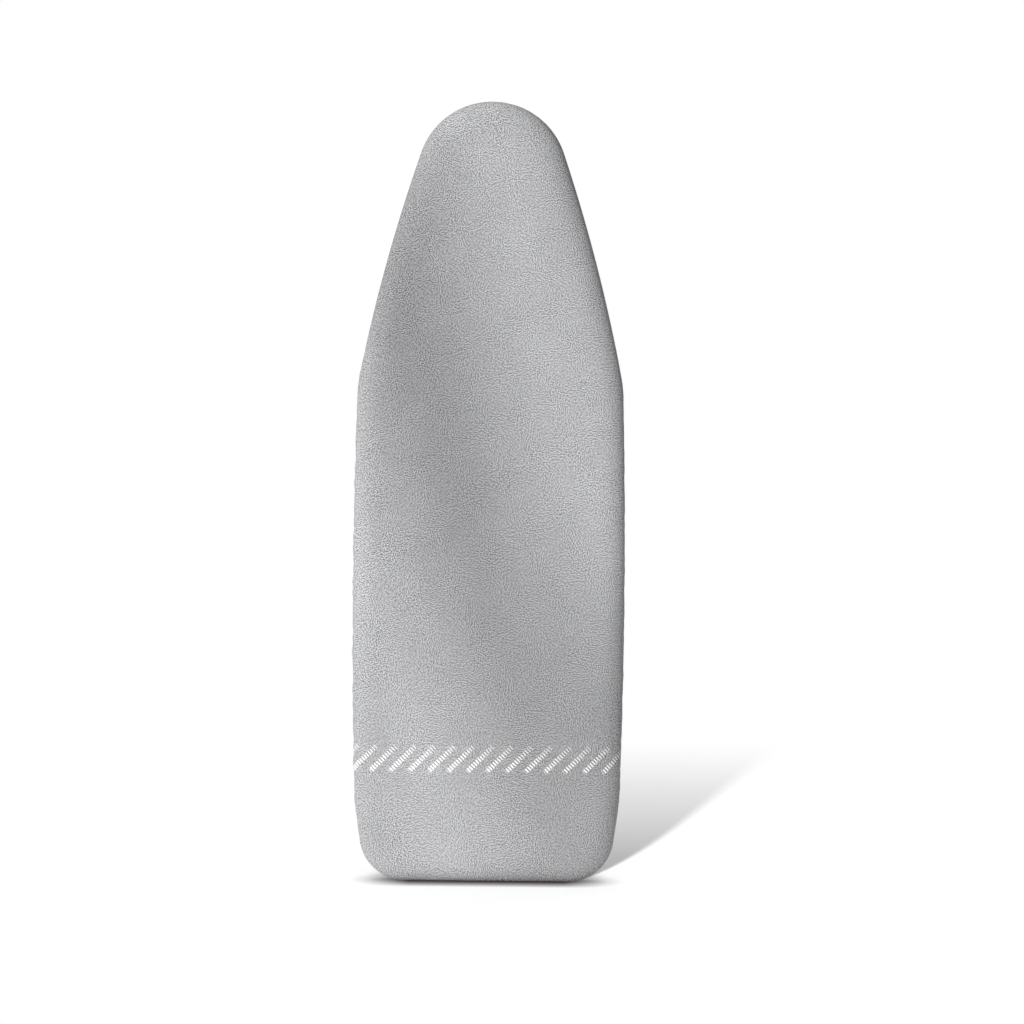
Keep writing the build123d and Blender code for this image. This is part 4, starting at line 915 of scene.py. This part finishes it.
fit(cover, "board", "cover_fabric", finishes["cover_fabric"], "cover")
fit(hem_tape, "board", "binding_tape", finishes["binding_tape"], "hem_binding")
fit(felt, "board", "felt", finishes["felt"], "felt_pad")
fit(steam_mesh, "board", "painted_steel", finishes["painted_steel"], "mesh_plate")
fit(mesh_margin, "board", "painted_steel", finishes["painted_steel"])
for row in (outer_stitches, inner_stitches):
    fit(row, "board", "binding_tape", sewing_thread)
for body, made in welds.items():
    for weld in made:
        fit(weld, body, "leg_enamel", finishes["leg_enamel"])
print("fitted: cover, tape, felt, mesh, margin, stitches and", sum(map(len, welds.values())), "welds")

# %% [markdown]
# ## The floor
# The board stands on a plain white floor that runs into a white surround with no edge. A disc does that:
# solid under the board, and clear further out. Its clearness comes from the distance to the middle, and
# behind the board also from the depth, so that the shadow fades evenly to nothing. Close to whatever
# stands on it, a contact shadow is painted into the floor's colour. It is darker by how much of the sky is
# hidden within a few centimetres.

# %% Floor
FLOOR_SOLID, FLOOR_CLEAR = 0.35, 1.9
FLOOR_MIDDLE = (0.15, 0.35)
FADE_START, FADE_END = 0.2, 1.31  # depth behind the board over which the floor clears
FLOOR_TONE = (0.72, 0.72, 0.72)
CONTACT_REACH = 0.040
CONTACT_MIDDLE, CONTACT_END = 0.12, 0.19  # either side of the middle, where the tail leaves the floor
# painted shade: the dark warm colour that stands for the contact shadow under the tail
CONTACT_SHADOW_TONE = (0.045, 0.034, 0.032)
CONTACT_POWER = 3.0
CONTACT_LEFT = 0.3  # share of the painted contact shadow that stays past the ends
FLOOR_SINK = 0.0004  # the disc lies this much lower than what stands on it


def floor_disc():
    """Rings of points: radius times (cos, sin) round the middle."""
    turn = np.linspace(2 * np.pi, 0, 97)
    radius = np.linspace(0, FLOOR_CLEAR + 0.05, 9)[:, None]
    x, y = radius * np.cos(turn) + FLOOR_MIDDLE[0], radius * np.sin(turn) + FLOOR_MIDDLE[1]
    return skin("floor", np.stack([x, y, 0 * radius * turn - FLOOR_SINK], -1)[::-1])


def floor_paint():
    """Matt, lit to white, and clear by a smooth ramp of the distance from the middle times a straight ramp
    of depth. The open share of the sky, to CONTACT_POWER, blends a painted contact shadow into its
    colour, fully under the straight of the tail and less past its ends."""
    material, tree, shader = new_finish("white_floor", Roughness=0.9)
    shader.inputs["Specular IOR Level"].default_value = 0.0
    where = in_place(tree)
    across, depth, _ = node(tree, "SeparateXYZ", {0: where}).outputs
    shift = (-FLOOR_MIDDLE[0], -FLOOR_MIDDLE[1], 0)
    away = node(tree, "Mapping", {0: where, 1: shift}).outputs[0]
    distance = node(tree, "VectorMath", {0: away}, operation="LENGTH").outputs["Value"]
    solid = ramp(tree, distance, FLOOR_SOLID, FLOOR_CLEAR, 1.0, 0.0, interpolation_type="SMOOTHSTEP")
    fade = ramp(tree, depth, FADE_START, FADE_END, 1.0, 0.0)
    tree.links.new(maths(tree, "MULTIPLY", solid, fade), shader.inputs["Alpha"])
    # painted shade: the floor's colour darkens where nearby parts hide the sky, as a contact shadow
    open_sky = node(tree, "AmbientOcclusion", {"Distance": CONTACT_REACH}, samples=16).outputs["AO"]
    painted_shade = maths(tree, "SUBTRACT", 1.0, maths(tree, "POWER", open_sky, CONTACT_POWER))
    beside = maths(tree, "ABSOLUTE", across)
    near = ramp(tree, beside, CONTACT_MIDDLE, CONTACT_END, 1.0, CONTACT_LEFT)
    seen = maths(tree, "SUBTRACT", 1.0, maths(tree, "MULTIPLY", painted_shade, near))
    paint(tree, shader, seen, CONTACT_SHADOW_TONE, FLOOR_TONE, 0.0, 1.0)
    return material


floor = floor_disc()
floor.data.materials.append(floor_paint())
print("floor radius:", FLOOR_CLEAR)

# %% [markdown]
# ## Light
# The studio is plain and soft: an even surround, and a broad light overhead for the floor. A low key
# light stands far to the left, so the rolled edge on the right falls into shade. Two strip lights with
# grids, leaning like the bands they leave, brighten the cloth towards the tail on the left and the nose
# on the right. A low sun that reaches only the floor lays one long shadow to the back right. Which
# objects a lamp reaches is set by light linking. The surround looks pure white to the camera but gives
# less light, because the world's shader asks whether the ray came from the camera. A soft lamp behind
# shows the legs and the hem to anyone who walks round.

# %% Surround
SURROUND = 0.30
world = bpy.data.worlds.new("surround")
bpy.context.scene.world = world
world.use_nodes = True
world_tree = world.node_tree
seen = node(world_tree, "LightPath").outputs["Is Camera Ray"]
strength = maths(world_tree, "MULTIPLY_ADD", seen, 1.0 - SURROUND, SURROUND)
world_tree.links.new(strength, world_tree.nodes["Background"].inputs["Strength"])
world_tree.nodes["Background"].inputs["Color"].default_value = (1, 1, 1, 1)
print("surround gives", SURROUND)

# %% Lamps
floor_only = bpy.data.collections.new("floor_only")
floor_only.objects.link(floor)
all_but_floor = bpy.data.collections.new("all_but_floor")
all_but_floor.objects.link(floor)
all_but_floor.collection_objects[0].light_linking.link_state = "EXCLUDE"


def from_side(target, side, high, distance):
    """A place at a distance from a target, so many degrees left of the front and above the floor."""
    a, e = math.radians(side), math.radians(high)
    way = Vector((-math.sin(a) * math.cos(e), -math.cos(a) * math.cos(e), math.sin(e)))
    return Vector(target) + distance * way


def add_lamp(name, kind, energy, place, target, reaches=None, lean=(0, 0, 1), **settings):
    """A lamp looking from a place at a target, its own Y as near as can be to the way it leans. Energy
    is in watts, or in watts on a square metre for a sun. reaches limits it to a collection."""
    data = bpy.data.lights.new(name, kind)
    data.energy = energy
    for setting, value in settings.items():
        setattr(data, setting, value)
    lamp = bpy.data.objects.new(name, data)
    bpy.context.scene.collection.objects.link(lamp)
    back = (Vector(place) - Vector(target)).normalized()
    right = Vector(lean).cross(back).normalized()
    turned = Matrix((right, back.cross(right), back)).transposed()
    lamp.matrix_world = Matrix.Translation(place) @ turned.to_4x4()
    lamp.visible_camera = False
    lamp.light_linking.receiver_collection = reaches
    return lamp


MIDDLE = (0.0, FRONT, 0.6)
LEAN = Vector((-0.29, 0, 1)).normalized()  # of the two bright bands
STRIP_AWAY, STRIP_LONG, STRIP_WIDE = 2.2, 1.7, 0.05
overhead = add_lamp(
    "overhead", "AREA", 59.0, (0, 0.3, 3.2), (0, 0.3, 0), floor_only, (0, 1, 0), shape="SQUARE", size=3.0
)
key = add_lamp(
    "key", "SUN", 2.92, from_side(MIDDLE, 48, 15, 6), MIDDLE, all_but_floor, angle=math.radians(12)
)
floor_sun = add_lamp(
    "floor_sun", "SUN", 23.0, from_side(MIDDLE, 13.5, 6, 6), MIDDLE, floor_only, angle=math.radians(2.5)
)
strips = []
for name, energy, across, height in (("tail_strip", 0.56, -0.058, 0.15), ("nose_strip", 0.69, 0.338, 1.31)):
    target = (across + height * LEAN.x / LEAN.z, FRONT, height)
    strips.append(
        add_lamp(
            name, "AREA", energy, from_side(target, 22, 18, STRIP_AWAY), target, all_but_floor, LEAN,
            shape="RECTANGLE", size=STRIP_WIDE, size_y=STRIP_LONG, spread=math.radians(9.5),
        )
    )
behind = add_lamp(
    "behind", "AREA", 42.0, (0.5, 3.2, 2.3), (0, 0, 0.6), all_but_floor,
    shape="RECTANGLE", size=1.0, size_y=1.6,
)
print("lamps:", [o.name for o in (overhead, key, floor_sun, behind, *strips)])

# %% [markdown]
# ## Camera
# A long lens far away keeps the board's sides nearly parallel, as in a catalogue view. The camera looks a
# little down, and is turned slightly about its own axis, because the board does not stand quite plumb in
# the view.

# %% Camera
VIEW_DISTANCE, LENS = 8.0, 183.7
VIEW_DOWN, VIEW_ROLL = 7.0, 0.55
VIEW_TARGET = Vector((0.0346, 0.0, 0.5736))
camera_data = bpy.data.cameras.new("camera")
camera_data.lens, camera_data.sensor_width = LENS, 36.0
camera = bpy.data.objects.new("camera", camera_data)
bpy.context.scene.collection.objects.link(camera)
down = math.radians(VIEW_DOWN)
backwards = Vector((0, -math.cos(down), math.sin(down)))
camera.location = VIEW_TARGET + VIEW_DISTANCE * backwards
camera.rotation_mode = "QUATERNION"
camera.rotation_quaternion = (-backwards).to_track_quat("-Z", "Y") @ Matrix.Rotation(
    math.radians(VIEW_ROLL), 3, "Z"
).to_quaternion()
bpy.context.scene.camera = camera
bpy.context.scene.view_settings.view_transform = "Standard"
print("camera at", [round(v, 2) for v in camera.location])
